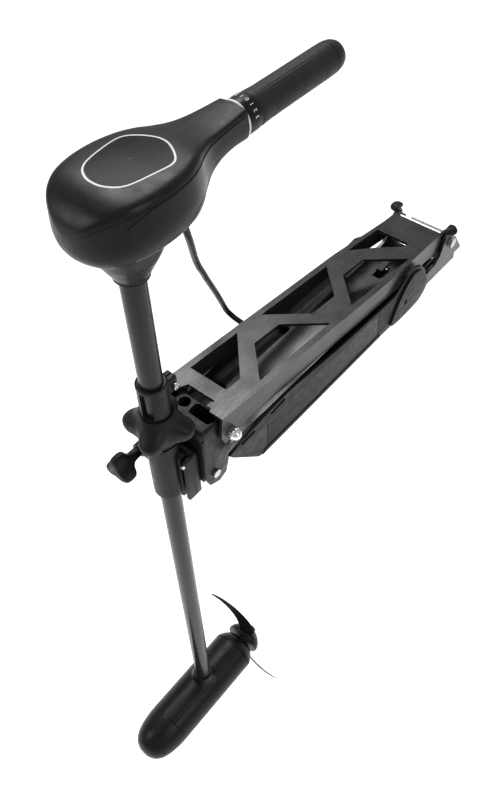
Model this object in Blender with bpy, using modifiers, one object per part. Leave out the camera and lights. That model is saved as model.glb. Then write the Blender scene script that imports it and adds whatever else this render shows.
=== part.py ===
"""A bow-mounted electric trolling motor at rest: arm down, motor pointing straight ahead.

The deck face of the mount is z = 0. +Y points inboard, over the deck, and -Y outboard.
Everything at the front of the mount is placed by its distance inboard of the steering shaft.
"""

import math

import bmesh
import bpy
from mathutils import Matrix, Vector

MM = 0.001
GAP = 0.3 * MM

# The steering shaft, which sets the scale of everything round it.
SHAFT_Y = -405 * MM
SHAFT_RADIUS = 14.3 * MM
SHAFT_WALL = 2.6 * MM
SHAFT_BOTTOM = -651 * MM
SHAFT_TOP = 425 * MM

# The swinging arm, a channel that slopes down to its rear pivot.
ARM_SLOPE = math.radians(6.24)
ARM_PIVOT = (213 * MM, 58 * MM)
ARM_HALF_WIDTH = 50.5 * MM
ARM_REAR_HALF_WIDTH = 44.5 * MM
ARM_WALL = 4 * MM
ARM_TOP = 22.8 * MM
ARM_FRONT = -566 * MM
TRUSS_PITCH = 208 * MM
CARRIER_PIVOT = (-333 * MM, 105 * MM)
LINK_FRONT = (-360 * MM, 38 * MM)
LINK_REAR = (189 * MM, 29 * MM)
LATCH_OPEN = math.radians(13)

# The pinch screw of the steering tension knob runs along Y at this x and z.
KNOB_AXIS = (-35 * MM, 80 * MM)

# The base that is bolted to the deck, and its side covers.
BASE_HALF_WIDTH = 43 * MM
BASE_FRONT = -277 * MM
BASE_REAR = 280 * MM
COVER_INSIDE = 53 * MM
COVER_WALL = 4 * MM

# The head, its handle and the submerged motor.
NECK_BOTTOM = 387 * MM
HANDLE_Z = 476 * MM
MOTOR_Z = -694 * MM
MOTOR_RADIUS = 43 * MM

X_AXIS = Vector((1, 0, 0))
Y_AXIS = Vector((0, 1, 0))
Z_AXIS = Vector((0, 0, 1))


def inboard(distance):
    """The Y of a place this many millimetres inboard of the shaft."""
    return SHAFT_Y + distance * MM


# ---------------------------------------------------------------- scene and materials


def clear_scene():
    for obj in list(bpy.data.objects):
        bpy.data.objects.remove(obj)


def material(name, colour, roughness, metallic=0.0):
    made = bpy.data.materials.new(name)
    made.use_nodes = True
    shader = made.node_tree.nodes["Principled BSDF"]
    shader.inputs["Base Color"].default_value = (*colour, 1)
    shader.inputs["Roughness"].default_value = roughness
    shader.inputs["Metallic"].default_value = metallic
    made.diffuse_color = (*colour, 1)
    return made


def make_materials():
    return {
        "housing": material("black_housing", (0.022, 0.022, 0.024), 0.45),
        "gloss": material("gloss_panel", (0.010, 0.010, 0.011), 0.18),
        "painted": material("painted_aluminium", (0.045, 0.045, 0.048), 0.38, 0.5),
        "cover": material("moulded_cover", (0.035, 0.035, 0.036), 0.55),
        "rubber": material("rubber", (0.018, 0.018, 0.018), 0.85),
        "composite": material("composite_tube", (0.075, 0.070, 0.064), 0.42),
        "steel": material("stainless_steel", (0.62, 0.62, 0.60), 0.25, 1.0),
        "chrome": material("chrome", (0.80, 0.80, 0.80), 0.10, 1.0),
        "bushing": material("bearing_plastic", (0.10, 0.10, 0.10), 0.5),
        "light": material("light_grey_plastic", (0.42, 0.42, 0.41), 0.4),
        "copper": material("copper", (0.72, 0.36, 0.20), 0.35, 1.0),
        "magnet": material("magnet", (0.10, 0.10, 0.11), 0.6, 0.3),
        "board": material("terminal_board", (0.06, 0.05, 0.03), 0.6),
        "cable": material("cable_jacket", (0.012, 0.012, 0.012), 0.5),
    }


clear_scene()
MATERIALS = make_materials()
CUTTERS = bpy.data.collections.new("cutters")
bpy.context.scene.collection.children.link(CUTTERS)
CUTTERS.hide_render = True
AXES = {}


def axis(name, y, z, x=0.0):
    """An empty on a joint's axis, which the pieces that turn or slide there hang from."""
    empty = bpy.data.objects.new(name, None)
    empty.location = (x, y, z)
    bpy.context.scene.collection.objects.link(empty)
    AXES[name] = empty


def piece(obj, colour, on=None):
    """Makes an object a piece of the product, in its material and on its joint's empty."""
    obj.data.materials.clear()
    obj.data.materials.append(MATERIALS[colour])
    if on:
        obj.parent = AXES[on]
        obj.matrix_parent_inverse = Matrix.Translation(AXES[on].location).inverted()
    return obj


def tool(obj):
    """Makes an object a helper for a Boolean, which isn't part of the product."""
    bpy.context.scene.collection.objects.unlink(obj)
    CUTTERS.objects.link(obj)
    obj.hide_render = True
    obj.display_type = "WIRE"
    return obj


def combine(obj, operation, *others):
    for other in others:
        boolean = obj.modifiers.new(operation.title(), "BOOLEAN")
        boolean.operation = operation
        boolean.solver = "EXACT"
        boolean.object = tool(other)
    return obj


def cut(obj, *others):
    return combine(obj, "DIFFERENCE", *others)


def join(obj, *others):
    return combine(obj, "UNION", *others)


def keep(obj, *others):
    return combine(obj, "INTERSECT", *others)


def bevel(obj, width, segments=2):
    edges = obj.modifiers.new("Bevel", "BEVEL")
    edges.width = width
    edges.segments = segments
    edges.limit_method = "ANGLE"
    return obj


# ---------------------------------------------------------------- shapes


def from_bmesh(name, shape):
    mesh = bpy.data.meshes.new(name)
    bmesh.ops.recalc_face_normals(shape, faces=shape.faces)
    shape.to_mesh(mesh)
    shape.free()
    obj = bpy.data.objects.new(name, mesh)
    bpy.context.scene.collection.objects.link(obj)
    return obj


def box(name, x, y, z):
    """A box between two values along each axis."""
    shape = bmesh.new()
    size = Matrix.Diagonal((x[1] - x[0], y[1] - y[0], z[1] - z[0], 1))
    middle = Matrix.Translation(((x[0] + x[1]) / 2, (y[0] + y[1]) / 2, (z[0] + z[1]) / 2))
    bmesh.ops.create_cube(shape, size=1, matrix=middle @ size)
    return from_bmesh(name, shape)


def rod(name, start, end, radius, end_radius=None, segments=24):
    """A cylinder or cone between two points."""
    start = Vector(start)
    end = Vector(end)
    turn = Z_AXIS.rotation_difference(end - start).to_matrix().to_4x4()
    shape = bmesh.new()
    bmesh.ops.create_cone(
        shape,
        cap_ends=True,
        segments=segments,
        radius1=radius,
        radius2=radius if end_radius is None else end_radius,
        depth=(end - start).length,
        matrix=Matrix.Translation((start + end) / 2) @ turn,
    )
    return from_bmesh(name, shape)


def cross_rod(name, y, z, x, radius, segments=24):
    """A cylinder along X."""
    return rod(name, (x[0], y, z), (x[1], y, z), radius, segments=segments)


def turned(name, profile, origin, direction=Z_AXIS, steps=32):
    """A lathe shape: (radius, height) points down its outer side, then up its inner side."""
    mesh = bpy.data.meshes.new(name)
    ring = profile[0][0] > 0 and profile[-1][0] > 0
    edges = [(i, i + 1) for i in range(len(profile) - 1)]
    if ring:
        edges.append((len(profile) - 1, 0))
    mesh.from_pydata([(r, 0, h) for r, h in profile], edges, [])
    obj = bpy.data.objects.new(name, mesh)
    bpy.context.scene.collection.objects.link(obj)
    obj.location = origin
    obj.rotation_mode = "QUATERNION"
    obj.rotation_quaternion = Z_AXIS.rotation_difference(direction)
    screw = obj.modifiers.new("Screw", "SCREW")
    screw.steps = steps
    screw.render_steps = steps
    screw.use_merge_vertices = True
    screw.merge_threshold = 0.00001
    return obj


def tube(name, y, z, inner, outer):
    """An upright ring round a vertical axis."""
    profile = [(outer, z[1]), (outer, z[0]), (inner, z[0]), (inner, z[1])]
    return turned(name, profile, (0, y, 0))


def prism(name, outlines, depth, frame):
    """Flat outlines, the first one outside and any others holes in it, made this deep.

    frame takes the outline's plane to the world, and depth runs both ways along its Z.
    """
    curve = bpy.data.curves.new(name, "CURVE")
    curve.dimensions = "2D"
    curve.fill_mode = "BOTH"
    curve.extrude = depth / 2
    for outline in outlines:
        spline = curve.splines.new("POLY")
        spline.points.add(len(outline) - 1)
        spline.use_cyclic_u = True
        for point, place in zip(spline.points, outline):
            point.co = (*place, 0, 1)
    flat = bpy.data.objects.new(name, curve)
    bpy.context.scene.collection.objects.link(flat)
    mesh = bpy.data.meshes.new_from_object(flat)
    bpy.data.objects.remove(flat)
    mesh.transform(frame)
    shape = bmesh.new()
    shape.from_mesh(mesh)
    bmesh.ops.remove_doubles(shape, verts=shape.verts, dist=0.000001)
    return from_bmesh(name, shape)


# Outlines drawn in (y, z) and made thick along X, and in (x, y) and made thick along Z.
SIDEWAYS = Matrix(((0, 0, 1, 0), (1, 0, 0, 0), (0, 1, 0, 0), (0, 0, 0, 1)))


def side_plate(name, outlines, x):
    """A plate seen from the side, between two values of X."""
    middle = Matrix.Translation(((x[0] + x[1]) / 2, 0, 0))
    return prism(name, outlines, x[1] - x[0], middle @ SIDEWAYS)


def floor_plate(name, outlines, z):
    """A plate seen from above, between two heights."""
    return prism(name, outlines, z[1] - z[0], Matrix.Translation((0, 0, (z[0] + z[1]) / 2)))


def arc(centre, radius, start, end, points):
    """Points round part of a circle, in degrees."""
    turns = [math.radians(start + (end - start) * i / (points - 1)) for i in range(points)]
    return [(centre[0] + radius * math.cos(t), centre[1] + radius * math.sin(t)) for t in turns]


def lobed(count, radius, lobe, points):
    """A closed outline with rounded lobes."""
    turns = [2 * math.pi * i / points for i in range(points)]
    sizes = [radius + lobe * math.cos(count * t) for t in turns]
    return [(r * math.cos(t), r * math.sin(t)) for r, t in zip(sizes, turns)]


def loft(name, rings):
    """A closed skin through rings of equally many points, capped at both ends."""
    shape = bmesh.new()
    rows = [[shape.verts.new(point) for point in ring] for ring in rings]
    for low, high in zip(rows, rows[1:]):
        for i in range(len(low)):
            j = (i + 1) % len(low)
            shape.faces.new((low[i], low[j], high[j], high[i]))
    shape.faces.new(rows[0])
    shape.faces.new(rows[-1])
    return from_bmesh(name, shape)


def mirrored(function):
    """Calls function(side, suffix) for the right and the left of the mount."""
    for side, suffix in ((1, "right"), (-1, "left")):
        function(side, suffix)


def span(side, low, high):
    """A range of X on one side of the middle, in millimetres."""
    return tuple(sorted((side * low * MM, side * high * MM)))


# ---------------------------------------------------------------- the base


def base_channel():
    front, rear = BASE_FRONT, BASE_REAR
    profile = [(front, 0), (rear, 0), (rear, 3 * MM), (rear - 27 * MM, 40 * MM)]
    profile += [(rear - 45 * MM, 36 * MM), (front + 30 * MM, 36 * MM), (front, 12 * MM)]
    body = side_plate("base_channel", [profile], (-BASE_HALF_WIDTH, BASE_HALF_WIDTH))
    inside = BASE_HALF_WIDTH - ARM_WALL
    hollow = box("hollow", (-inside, inside), (front + 4 * MM, rear - 36 * MM), (5 * MM, 50 * MM))
    drills = [cross_rod("link_hole", *LINK_REAR, (-50 * MM, 50 * MM), 4.6 * MM)]
    for y in (front + 40 * MM, rear - 130 * MM):
        for x in (-24 * MM, 24 * MM):
            drills.append(rod("deck_hole", (x, y, -MM), (x, y, 9 * MM), 3.6 * MM, segments=16))
    piece(cut(body, hollow, *drills), "painted")


def side_covers():
    y, wall = inboard, COVER_WALL / MM
    outline = [(y(59), 70 * MM), (y(66), 60 * MM), (y(121), 3 * MM), (y(417), 3 * MM)]
    outline += [(y(424), 2 * MM), (y(520), 2 * MM), (y(538), 14 * MM), (y(545), 30 * MM)]
    outline += [(y(532), 62 * MM), (y(516), 80 * MM), (y(498), 87 * MM), (y(478), 85 * MM)]
    outline += [(y(446), 64 * MM), (y(300), 72 * MM), (y(180), 86 * MM), (y(108), 80 * MM)]
    swelling = [(y(436), 4 * MM), (y(518), 4 * MM), (y(536), 18 * MM), (y(541), 30 * MM)]
    swelling += [(y(528), 60 * MM), (y(512), 76 * MM), (y(496), 81 * MM), (y(480), 76 * MM)]
    swelling += [(y(462), 58 * MM), (y(446), 30 * MM)]

    def cover(side, suffix):
        inner = COVER_INSIDE / MM
        skin = side_plate(f"side_cover_{suffix}", [outline], span(side, inner, inner + wall))
        boss = side_plate("boss", [swelling], span(side, inner + 1, inner + 8))
        spacers = [
            cross_rod("spacer", y(d), 20 * MM, span(side, 43.3, inner + 1), 7 * MM, 12)
            for d in (170, 320, 470)
        ]
        hole = cross_rod("hole", y(476), 34 * MM, span(side, 40, 70), 2.6 * MM, 16)
        piece(cut(join(bevel(skin, 1.2 * MM, 1), bevel(boss, 3 * MM), *spacers), hole), "cover")

    mirrored(cover)


def hinge_plates():
    y, z = ARM_PIVOT
    outline = [(y - 70 * MM, 5 * MM), (y + 30 * MM, 5 * MM), (y + 24 * MM, 40 * MM)]
    outline += arc((y - 5 * MM, 68.5 * MM), 13 * MM, 0, 180, 7)
    outline += [(y - 26 * MM, 44 * MM), (y - 40 * MM, 34 * MM), (y - 70 * MM, 30 * MM)]

    def plate(side, suffix):
        ear = side_plate(f"hinge_plate_{suffix}", [outline], span(side, 46, 51))
        foot = box("foot", span(side, 43.3, 47), (y - 26 * MM, y + 26 * MM), (5 * MM, 30 * MM))
        hole = cross_rod("hole", y, z, span(side, 40, 60), 5.3 * MM)
        piece(cut(join(ear, foot), hole), "painted")
        middle = (side * 50 * MM, y - 5 * MM)
        block = rod(f"bumper_{suffix}", (*middle, 81.9 * MM), (*middle, 90 * MM), 11.5 * MM, 9 * MM)
        # Its inner side is flat, so that the arm's rear end swings past it.
        beside_arm = box("beside_arm", (-45.2 * MM, 45.2 * MM), (y - 20 * MM, y + 20 * MM),
                         (80 * MM, 92 * MM))
        piece(cut(block, beside_arm), "rubber")

    mirrored(plate)


def rear_pivot():
    y, z = ARM_PIVOT
    shank = cross_rod("rear_pivot_bolt", y, z, (-60 * MM, 55 * MM), 5 * MM)
    head = cross_rod("head", y, z, (51.3 * MM, 58 * MM), 9 * MM, 6)
    piece(join(shank, head), "steel")
    nut = cross_rod("rear_pivot_nut", y, z, (-58.3 * MM, -51.3 * MM), 9 * MM, 6)
    thread = cross_rod("thread", y, z, (-70 * MM, -50 * MM), 5.3 * MM)
    piece(cut(nut, thread), "steel")


def link_pivot_and_catch():
    pin = cross_rod("link_pivot_pin", *LINK_REAR, (-42.8 * MM, 42.8 * MM), 4.2 * MM)
    piece(pin, "steel")
    bar = cross_rod("latch_catch", inboard(500), 14 * MM, (-38.6 * MM, 38.6 * MM), 3 * MM, 16)
    piece(bar, "steel")


# ---------------------------------------------------------------- the swinging arm


def arm_frame():
    """From the arm's own frame, along it and up from it at its rear pivot, to the world."""
    place = Matrix.Translation((0, ARM_PIVOT[0], ARM_PIVOT[1]))
    return place @ Matrix.Rotation(-ARM_SLOPE, 4, "X")


def arm_point(x, along, up):
    return arm_frame() @ Vector((x, along, up))


def on_arm(along, up):
    """The (y, z) of a place on the arm."""
    return tuple(arm_point(0, along, up).yz)


# Where the power cable goes in through the arm's left flange.
CABLE_ENTRY = on_arm(-397 * MM, ARM_TOP - 14 * MM)


def truss_windows():
    """The openings in the arm's top, which leave a zigzag of bars between them."""
    rim, inner = 41 * MM, 10 * MM
    slant = rim + inner
    windows = []
    for i, side in enumerate((-1, 1, -1, 1)):
        middle = -508 * MM + TRUSS_PITCH / 2 * i
        long = 78 * MM
        short = long - slant
        front = max(middle - long, -524 * MM)
        if i:
            windows.append(
                [
                    (side * rim, front),
                    (side * rim, middle + long),
                    (-side * inner, middle + short),
                    (-side * inner, middle - short),
                ]
            )
        else:
            windows.append(
                [(-rim, front), (-rim, middle + long), (20 * MM, middle + 12 * MM), (20 * MM, front)]
            )
    windows.append([(-rim, -166 * MM), (-11 * MM, -126 * MM), (18 * MM, -97 * MM),
                    (18 * MM, -84 * MM), (-rim + 2 * MM, -84 * MM)])
    return windows


def arm_outline(inset, front, rear):
    """The arm seen from above: parallel sides that draw in towards the rear pivot."""
    wide, narrow = ARM_HALF_WIDTH - inset, ARM_REAR_HALF_WIDTH - inset
    right = [(wide, front), (wide, -190 * MM), (narrow, -60 * MM), (narrow, rear)]
    return right + [(-x, y) for x, y in reversed(right)]


def arm_channel():
    frame = arm_frame()
    depth = 60 * MM

    def from_above(name, outline, low, high):
        middle = Matrix.Translation((0, 0, (low + high) / 2))
        return prism(name, [outline], high - low, frame @ middle)

    body = from_above("arm_channel", arm_outline(0, ARM_FRONT, 13 * MM), -depth / 2, ARM_TOP)
    side = [(ARM_FRONT, ARM_TOP), (ARM_FRONT, -12 * MM), (-558 * MM, -27 * MM)]
    side += [(-538 * MM, -27 * MM), (-516 * MM, -16 * MM), (-120 * MM, -10 * MM)]
    side += arc((0, 0), 12 * MM, -100, 45, 7)
    side += [(-2 * MM, 13 * MM), (-8 * MM, ARM_TOP)]
    silhouette = prism("silhouette", [side], 140 * MM, frame @ SIDEWAYS)
    inside = from_above("inside", arm_outline(ARM_WALL, ARM_FRONT - 9 * MM, 30 * MM),
                        -depth, ARM_TOP - ARM_WALL)
    relief = from_above("relief", [(-30 * MM, ARM_FRONT - MM), (30 * MM, ARM_FRONT - MM),
                                   (22 * MM, -548 * MM), (-22 * MM, -548 * MM)],
                        0, ARM_TOP + MM)
    rear_gap = from_above("rear_gap", [(-40 * MM, -24 * MM), (40 * MM, -24 * MM),
                                       (40 * MM, 20 * MM), (-40 * MM, 20 * MM)],
                          ARM_TOP - 5 * MM, ARM_TOP + MM)
    windows = [from_above("window", w, 0, ARM_TOP + MM) for w in truss_windows()]
    holes = [
        cross_rod("pivot_hole", *CARRIER_PIVOT, (-60 * MM, 60 * MM), 5.3 * MM),
        cross_rod("rear_hole", *ARM_PIVOT, (-60 * MM, 60 * MM), 5.3 * MM),
    ]
    notch = cross_rod("cable_notch", *CABLE_ENTRY, (-60 * MM, -40 * MM), 6.3 * MM, 20)
    keep(body, silhouette)
    cut(body, inside, relief, rear_gap, *windows, *holes, notch)
    piece(body, "painted", "arm_axis")


def arm_fittings():
    y, z = CARRIER_PIVOT
    bolt = cross_rod("carrier_pivot_bolt", y, z, (-57 * MM, 57 * MM), 5 * MM)
    piece(bolt, "steel", "arm_axis")

    def nut(side, suffix):
        profile = [(0, 15 * MM), (5 * MM, 14 * MM), (7.5 * MM, 10 * MM), (8 * MM, 8 * MM)]
        profile += [(9.5 * MM, 7 * MM), (9.5 * MM, 0), (5.3 * MM, 0), (5.3 * MM, 7 * MM), (0, 9 * MM)]
        start = (side * 50.8 * MM, y, z)
        acorn = turned(f"acorn_nut_{suffix}", profile, start, side * X_AXIS, 12)
        piece(acorn, "chrome", "arm_axis")

    mirrored(nut)
    rod_y, rod_z = on_arm(-13 * MM, 15 * MM)
    cross = cross_rod("arm_cross_rod", rod_y, rod_z, (-40.2 * MM, 40.2 * MM), 3 * MM, 16)
    piece(cross, "steel", "arm_axis")
    ring = [(8.5 * MM, 12 * MM), (8.5 * MM, 8.8 * MM), (6 * MM, 8.8 * MM), (6 * MM, 4.2 * MM),
            (8.5 * MM, 4.2 * MM), (8.5 * MM, 0), (4.7 * MM, 0), (4.7 * MM, 12 * MM)]
    grommet = turned("cable_grommet", ring, (-42 * MM, *CABLE_ENTRY), -X_AXIS, 20)
    piece(grommet, "rubber", "arm_axis")


# ---------------------------------------------------------------- the lower link and its latch


def lower_link():
    (front_y, front_z), (rear_y, rear_z) = LINK_FRONT, LINK_REAR
    half = 35 * MM
    top = [(front_y + 26 * MM, 12 * MM), (rear_y - 22 * MM, 12 * MM)]
    side = arc((front_y, front_z), 12 * MM, 300, 90, 8)
    side += [(y, front_z + rise) for y, rise in top]
    side += arc((rear_y, rear_z), 9 * MM, 70, -90, 7)
    side += [(rear_y - 30 * MM, front_z - 12 * MM), (front_y + 40 * MM, front_z - 12 * MM)]
    body = side_plate("lower_link", [side], (-half, half))
    inside = half - 3 * MM
    hollow = box("hollow", (-inside, inside), (front_y - 20 * MM, rear_y + 20 * MM),
                 (0, front_z + 9 * MM))
    slot = box("slot", (-7 * MM, 7 * MM), (inboard(480), inboard(512)), (40 * MM, 60 * MM))
    front_hole = cross_rod("front_hole", *LINK_FRONT, (-40 * MM, 40 * MM), 8.25 * MM)
    rear_hole = cross_rod("rear_hole", *LINK_REAR, (-40 * MM, 40 * MM), 4.5 * MM)
    piece(cut(body, hollow, slot, front_hole, rear_hole), "painted", "link_axis")


def latch():
    y, z = inboard(490), 42 * MM
    pin = cross_rod("latch_pin", y, z, (-31.6 * MM, 31.6 * MM), 2.5 * MM, 12)
    piece(pin, "steel", "link_axis")
    # The hook as it holds the catch, about its pin, in millimetres.
    hook = [(-5, 16), (-5, -20), (2, -34), (12.5, -34), (12.5, -32.2), (5, -31.6), (5, 12),
            (17, 22), (15, 25)]
    turn = Matrix.Rotation(-LATCH_OPEN, 2)
    opened = [turn @ Vector(point) * MM for point in hook]
    pawl = side_plate("release_latch", [[(y + a, z + b) for a, b in opened]], (-5 * MM, 5 * MM))
    hole = cross_rod("hole", y, z, (-9 * MM, 9 * MM), 2.9 * MM, 12)
    piece(cut(pawl, hole), "steel", "latch_axis")


# ---------------------------------------------------------------- the tilting carrier


def carrier_casting():
    y = inboard
    cheek = [(y(27.3), 118 * MM), (y(27.3), 42 * MM), (y(34), 20 * MM), (y(52), 12 * MM)]
    cheek += [(y(66), 18 * MM), (y(72), 40 * MM), (y(80), 80 * MM)]
    cheek += arc(CARRIER_PIVOT, 14 * MM, -10, 110, 6)
    body = side_plate("carrier_casting", [cheek], (-43 * MM, -36 * MM))
    other = side_plate("cheek", [cheek], (36 * MM, 43 * MM))
    block = box("block", (-43 * MM, 43 * MM), (y(27.3), y(70)), (76 * MM, 133 * MM))
    web = box("web", (-38 * MM, 38 * MM), (y(27.3), y(32)), (30 * MM, 90 * MM))
    pockets = [
        box("pocket", (x0 * MM, x1 * MM), (y(45.5), y(65)), (96 * MM, 140 * MM))
        for x0, x1 in ((-38, -25), (2, 39))
    ]
    round_pocket = rod("round_pocket", (-11 * MM, y(55.5), 96 * MM), (-11 * MM, y(55.5), 140 * MM),
                       8.5 * MM, segments=20)
    clearance = rod("clearance", (0, SHAFT_Y, 109 * MM), (0, SHAFT_Y, 150 * MM), 36 * MM, segments=40)
    holes = [
        cross_rod("pivot_hole", *CARRIER_PIVOT, (-60 * MM, 60 * MM), 5.3 * MM),
        cross_rod("link_hole", *LINK_FRONT, (-60 * MM, 60 * MM), 4.6 * MM),
    ]
    join(body, other, bevel(block, 5 * MM, 2), web)
    cut(body, *[bevel(p, 4 * MM, 2) for p in pockets], round_pocket, clearance, *holes)
    piece(body, "painted", "carrier_axis")


def pivot_housing():
    body = tube("pivot_housing", SHAFT_Y, (18 * MM, 118 * MM), 17 * MM, 20.5 * MM)
    flange = box("flange", (-34 * MM, 34 * MM), (inboard(16), inboard(27)), (10 * MM, 96 * MM))
    ribs = [
        box("rib", (x * MM, (x + 7) * MM), (inboard(4), inboard(22)), (8 * MM, 92 * MM))
        for x in (-33, 15, 26)
    ]
    x, z = KNOB_AXIS
    lug = rod("lug", (x, inboard(-12), z), (x, inboard(12), z), 10 * MM, segments=20)
    web = box("web", (x, -16 * MM), (inboard(-10), inboard(10)), (z - 9 * MM, z + 9 * MM))
    split = box("split", (x - 12 * MM, -15 * MM), (inboard(-1), inboard(1)), (z - 25 * MM, 130 * MM))
    bore = rod("bore", (0, SHAFT_Y, 0), (0, SHAFT_Y, 130 * MM), 17 * MM, segments=32)
    stud_hole = rod("stud_hole", (x, inboard(-20), z), (x, inboard(10), z), 4.4 * MM, segments=16)
    join(body, bevel(flange, 2 * MM), *[bevel(r, 2 * MM, 1) for r in ribs], web, lug)
    piece(cut(body, bore, split, stud_hole), "painted", "carrier_axis")


def steering_bushings():
    inner = SHAFT_RADIUS + GAP
    profile = [(20.5 * MM, 121 * MM), (20.5 * MM, 118.3 * MM), (16.7 * MM, 118.3 * MM)]
    profile += [(16.7 * MM, 80 * MM), (inner, 80 * MM), (inner, 121 * MM)]
    top = turned("upper_bushing", profile, (0, SHAFT_Y, 0))
    piece(top, "bushing", "carrier_axis")
    profile = [(16.7 * MM, 42 * MM), (16.7 * MM, 15 * MM), (inner, 15 * MM), (inner, 42 * MM)]
    bottom = turned("lower_bushing", profile, (0, SHAFT_Y, 0))
    piece(bottom, "bushing", "carrier_axis")


def carrier_fasteners():
    pin = cross_rod("link_front_bolt", *LINK_FRONT, (-44.6 * MM, 44.6 * MM), 4.2 * MM)
    head = cross_rod("head", *LINK_FRONT, (43.3 * MM, 47 * MM), 7 * MM, 6)
    piece(join(pin, head), "steel", "carrier_axis")
    x, z = 29.5 * MM, 84 * MM
    screw = rod("housing_screw", (x, inboard(3.7), z), (x, inboard(0.5), z), 3.2 * MM, 2.4 * MM, 12)
    piece(screw, "steel", "carrier_axis")


def tension_knob():
    """The knob pinches the split housing on the shaft's bushings, which stiffens the steering."""
    x, z = KNOB_AXIS
    stud = rod("tension_stud", (x, inboard(9.6), z), (x, inboard(-50), z), 4 * MM, segments=16)
    piece(stud, "steel", "knob_axis")
    frame = Matrix.Translation((x, inboard(-45), z)) @ Matrix.Rotation(math.pi / 2, 4, "X")
    body = prism("tension_knob", [lobed(3, 16 * MM, 6 * MM, 36)], 20 * MM, frame)
    neck = rod("neck", (x, inboard(-12.6), z), (x, inboard(-38), z), 7 * MM, 11 * MM, segments=20)
    bore = rod("bore", (x, inboard(-5), z), (x, inboard(-50.3), z), 4.3 * MM, segments=16)
    piece(cut(join(bevel(body, 3 * MM), neck), bore), "rubber", "knob_axis")


# ---------------------------------------------------------------- the collar on the shaft


def depth_collar():
    inner, outer = SHAFT_RADIUS + GAP, 19 * MM
    body = tube("depth_collar", SHAFT_Y, (122 * MM, 229 * MM), inner, outer)
    lug = box("lug", (-8 * MM, 8 * MM), (inboard(17), inboard(33)), (193 * MM, 217 * MM))
    bore = rod("bore", (0, SHAFT_Y, 90 * MM), (0, SHAFT_Y, 240 * MM), inner, segments=32)
    slot = box("slot", (-2 * MM, 12 * MM), (inboard(-30), inboard(-4)), (181 * MM, 222 * MM))
    split = box("split", (-1.2 * MM, 1.2 * MM), (inboard(10), inboard(40)), (176 * MM, 240 * MM))
    piece(cut(join(body, bevel(lug, 2 * MM)), bore, slot, split), "housing", "collar_axis")
    screw = rod("collar_screw", (8.3 * MM, inboard(26), 205 * MM),
                (13 * MM, inboard(26), 205 * MM), 4.5 * MM, segments=12)
    piece(screw, "steel", "collar_axis")


def clamp_knob():
    outline = lobed(4, 36 * MM, 7.5 * MM, 48)
    frame = Matrix.Translation((0, SHAFT_Y, 150 * MM)) @ Matrix.Rotation(math.radians(27), 4, "Z")
    body = prism("clamp_knob", [outline], 24 * MM, frame)
    crown = rod("crown", (0, SHAFT_Y, 155 * MM), (0, SHAFT_Y, 178 * MM), 33 * MM, 22 * MM, 32)
    bore = rod("bore", (0, SHAFT_Y, 90 * MM), (0, SHAFT_Y, 200 * MM), 19.4 * MM, segments=32)
    skirt = rod("skirt", (0, SHAFT_Y, 131 * MM), (0, SHAFT_Y, 141 * MM), 22 * MM, 31 * MM, 32)
    piece(cut(join(bevel(body, 5 * MM, 3), crown, skirt), bore), "rubber", "clamp_axis")


# ---------------------------------------------------------------- shaft and head


def shaft_tube():
    inner = SHAFT_RADIUS - SHAFT_WALL
    shaft = tube("shaft_tube", SHAFT_Y, (SHAFT_BOTTOM, SHAFT_TOP), inner, SHAFT_RADIUS)
    piece(shaft, "composite", "shaft_axis")


# The head along its length: distance inboard of the shaft, half width, ridge height and underside.
HEAD_STATIONS = ((-63, 7, 472, 456), (-60.5, 19, 482, 447), (-54, 32, 490, 439), (-44, 43, 496, 433),
                 (-28, 52, 500, 431), (-6, 57.5, 501, 431), (20, 58, 501, 431), (44, 54, 500, 432),
                 (62, 46.5, 499, 434), (78, 37, 497, 440), (94, 30, 495, 450), (112, 26, 493.5, 457),
                 (134, 23, 493, 459), (157.7, 20.5, 493, 456.5))
# One side of its section, from the middle of the top down: parts of the half width and the height.
HEAD_SECTION = ((0, 1.07), (0.35, 1.065), (0.68, 1.045), (0.85, 1.015), (0.92, 0.95), (0.96, 0.78),
                (1.0, 0.54), (0.985, 0.37), (0.9, 0.23), (0.7, 0.11), (0.36, 0.03), (0, 0))
HEAD_SEAM = 491 * MM


def head_section(station, inset=0.0, lowered=0.0):
    """The head's outline at one station, drawn in all round and lowered on top by this much."""
    distance, half, ridge, under = station
    half -= inset
    low, high = under + inset, ridge - inset - lowered
    side = [(half * x, low + (high - low) * h) for x, h in HEAD_SECTION]
    outline = side + [(-x, z) for x, z in side[-2:0:-1]]
    return [(x * MM, inboard(distance), z * MM) for x, z in outline]


def head_solid(name):
    return loft(name, [head_section(station) for station in HEAD_STATIONS])


def head_hollow(name):
    """The space inside the head, which is lower under the inset in the head's top."""
    inner = HEAD_STATIONS[2:-1] + ((151, 21.5, 493, 458),)
    return loft(name, [head_section(s, 3, 7 if s[0] < 70 else 0) for s in inner])


def head_lower_housing():
    body = head_solid("head_lower_housing")
    below = box("below", (-80 * MM, 80 * MM), (inboard(-80), inboard(200)), (380 * MM, HEAD_SEAM))
    neck = [(0, 441 * MM), (42.6 * MM, 441 * MM), (39 * MM, 430 * MM), (33 * MM, 416 * MM),
            (26 * MM, 403 * MM), (20.5 * MM, 393 * MM), (17.8 * MM, NECK_BOTTOM), (0, NECK_BOTTOM)]
    bore = rod("bore", (0, SHAFT_Y, 360 * MM), (0, SHAFT_Y, 445 * MM), SHAFT_RADIUS + GAP,
               segments=40)
    port = rod("port", (0, inboard(140), HANDLE_Z), (0, inboard(170), HANDLE_Z), 10.3 * MM)
    cable_hole = rod("cable_hole", (6 * MM, inboard(72), 410 * MM),
                     (6 * MM, inboard(72), 460 * MM), 6.3 * MM, segments=20)
    join(body, turned("neck", neck, (0, SHAFT_Y, 0)))
    keep(body, below)
    piece(cut(body, head_hollow("hollow"), bore, port, cable_hole), "housing", "shaft_axis")


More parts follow.
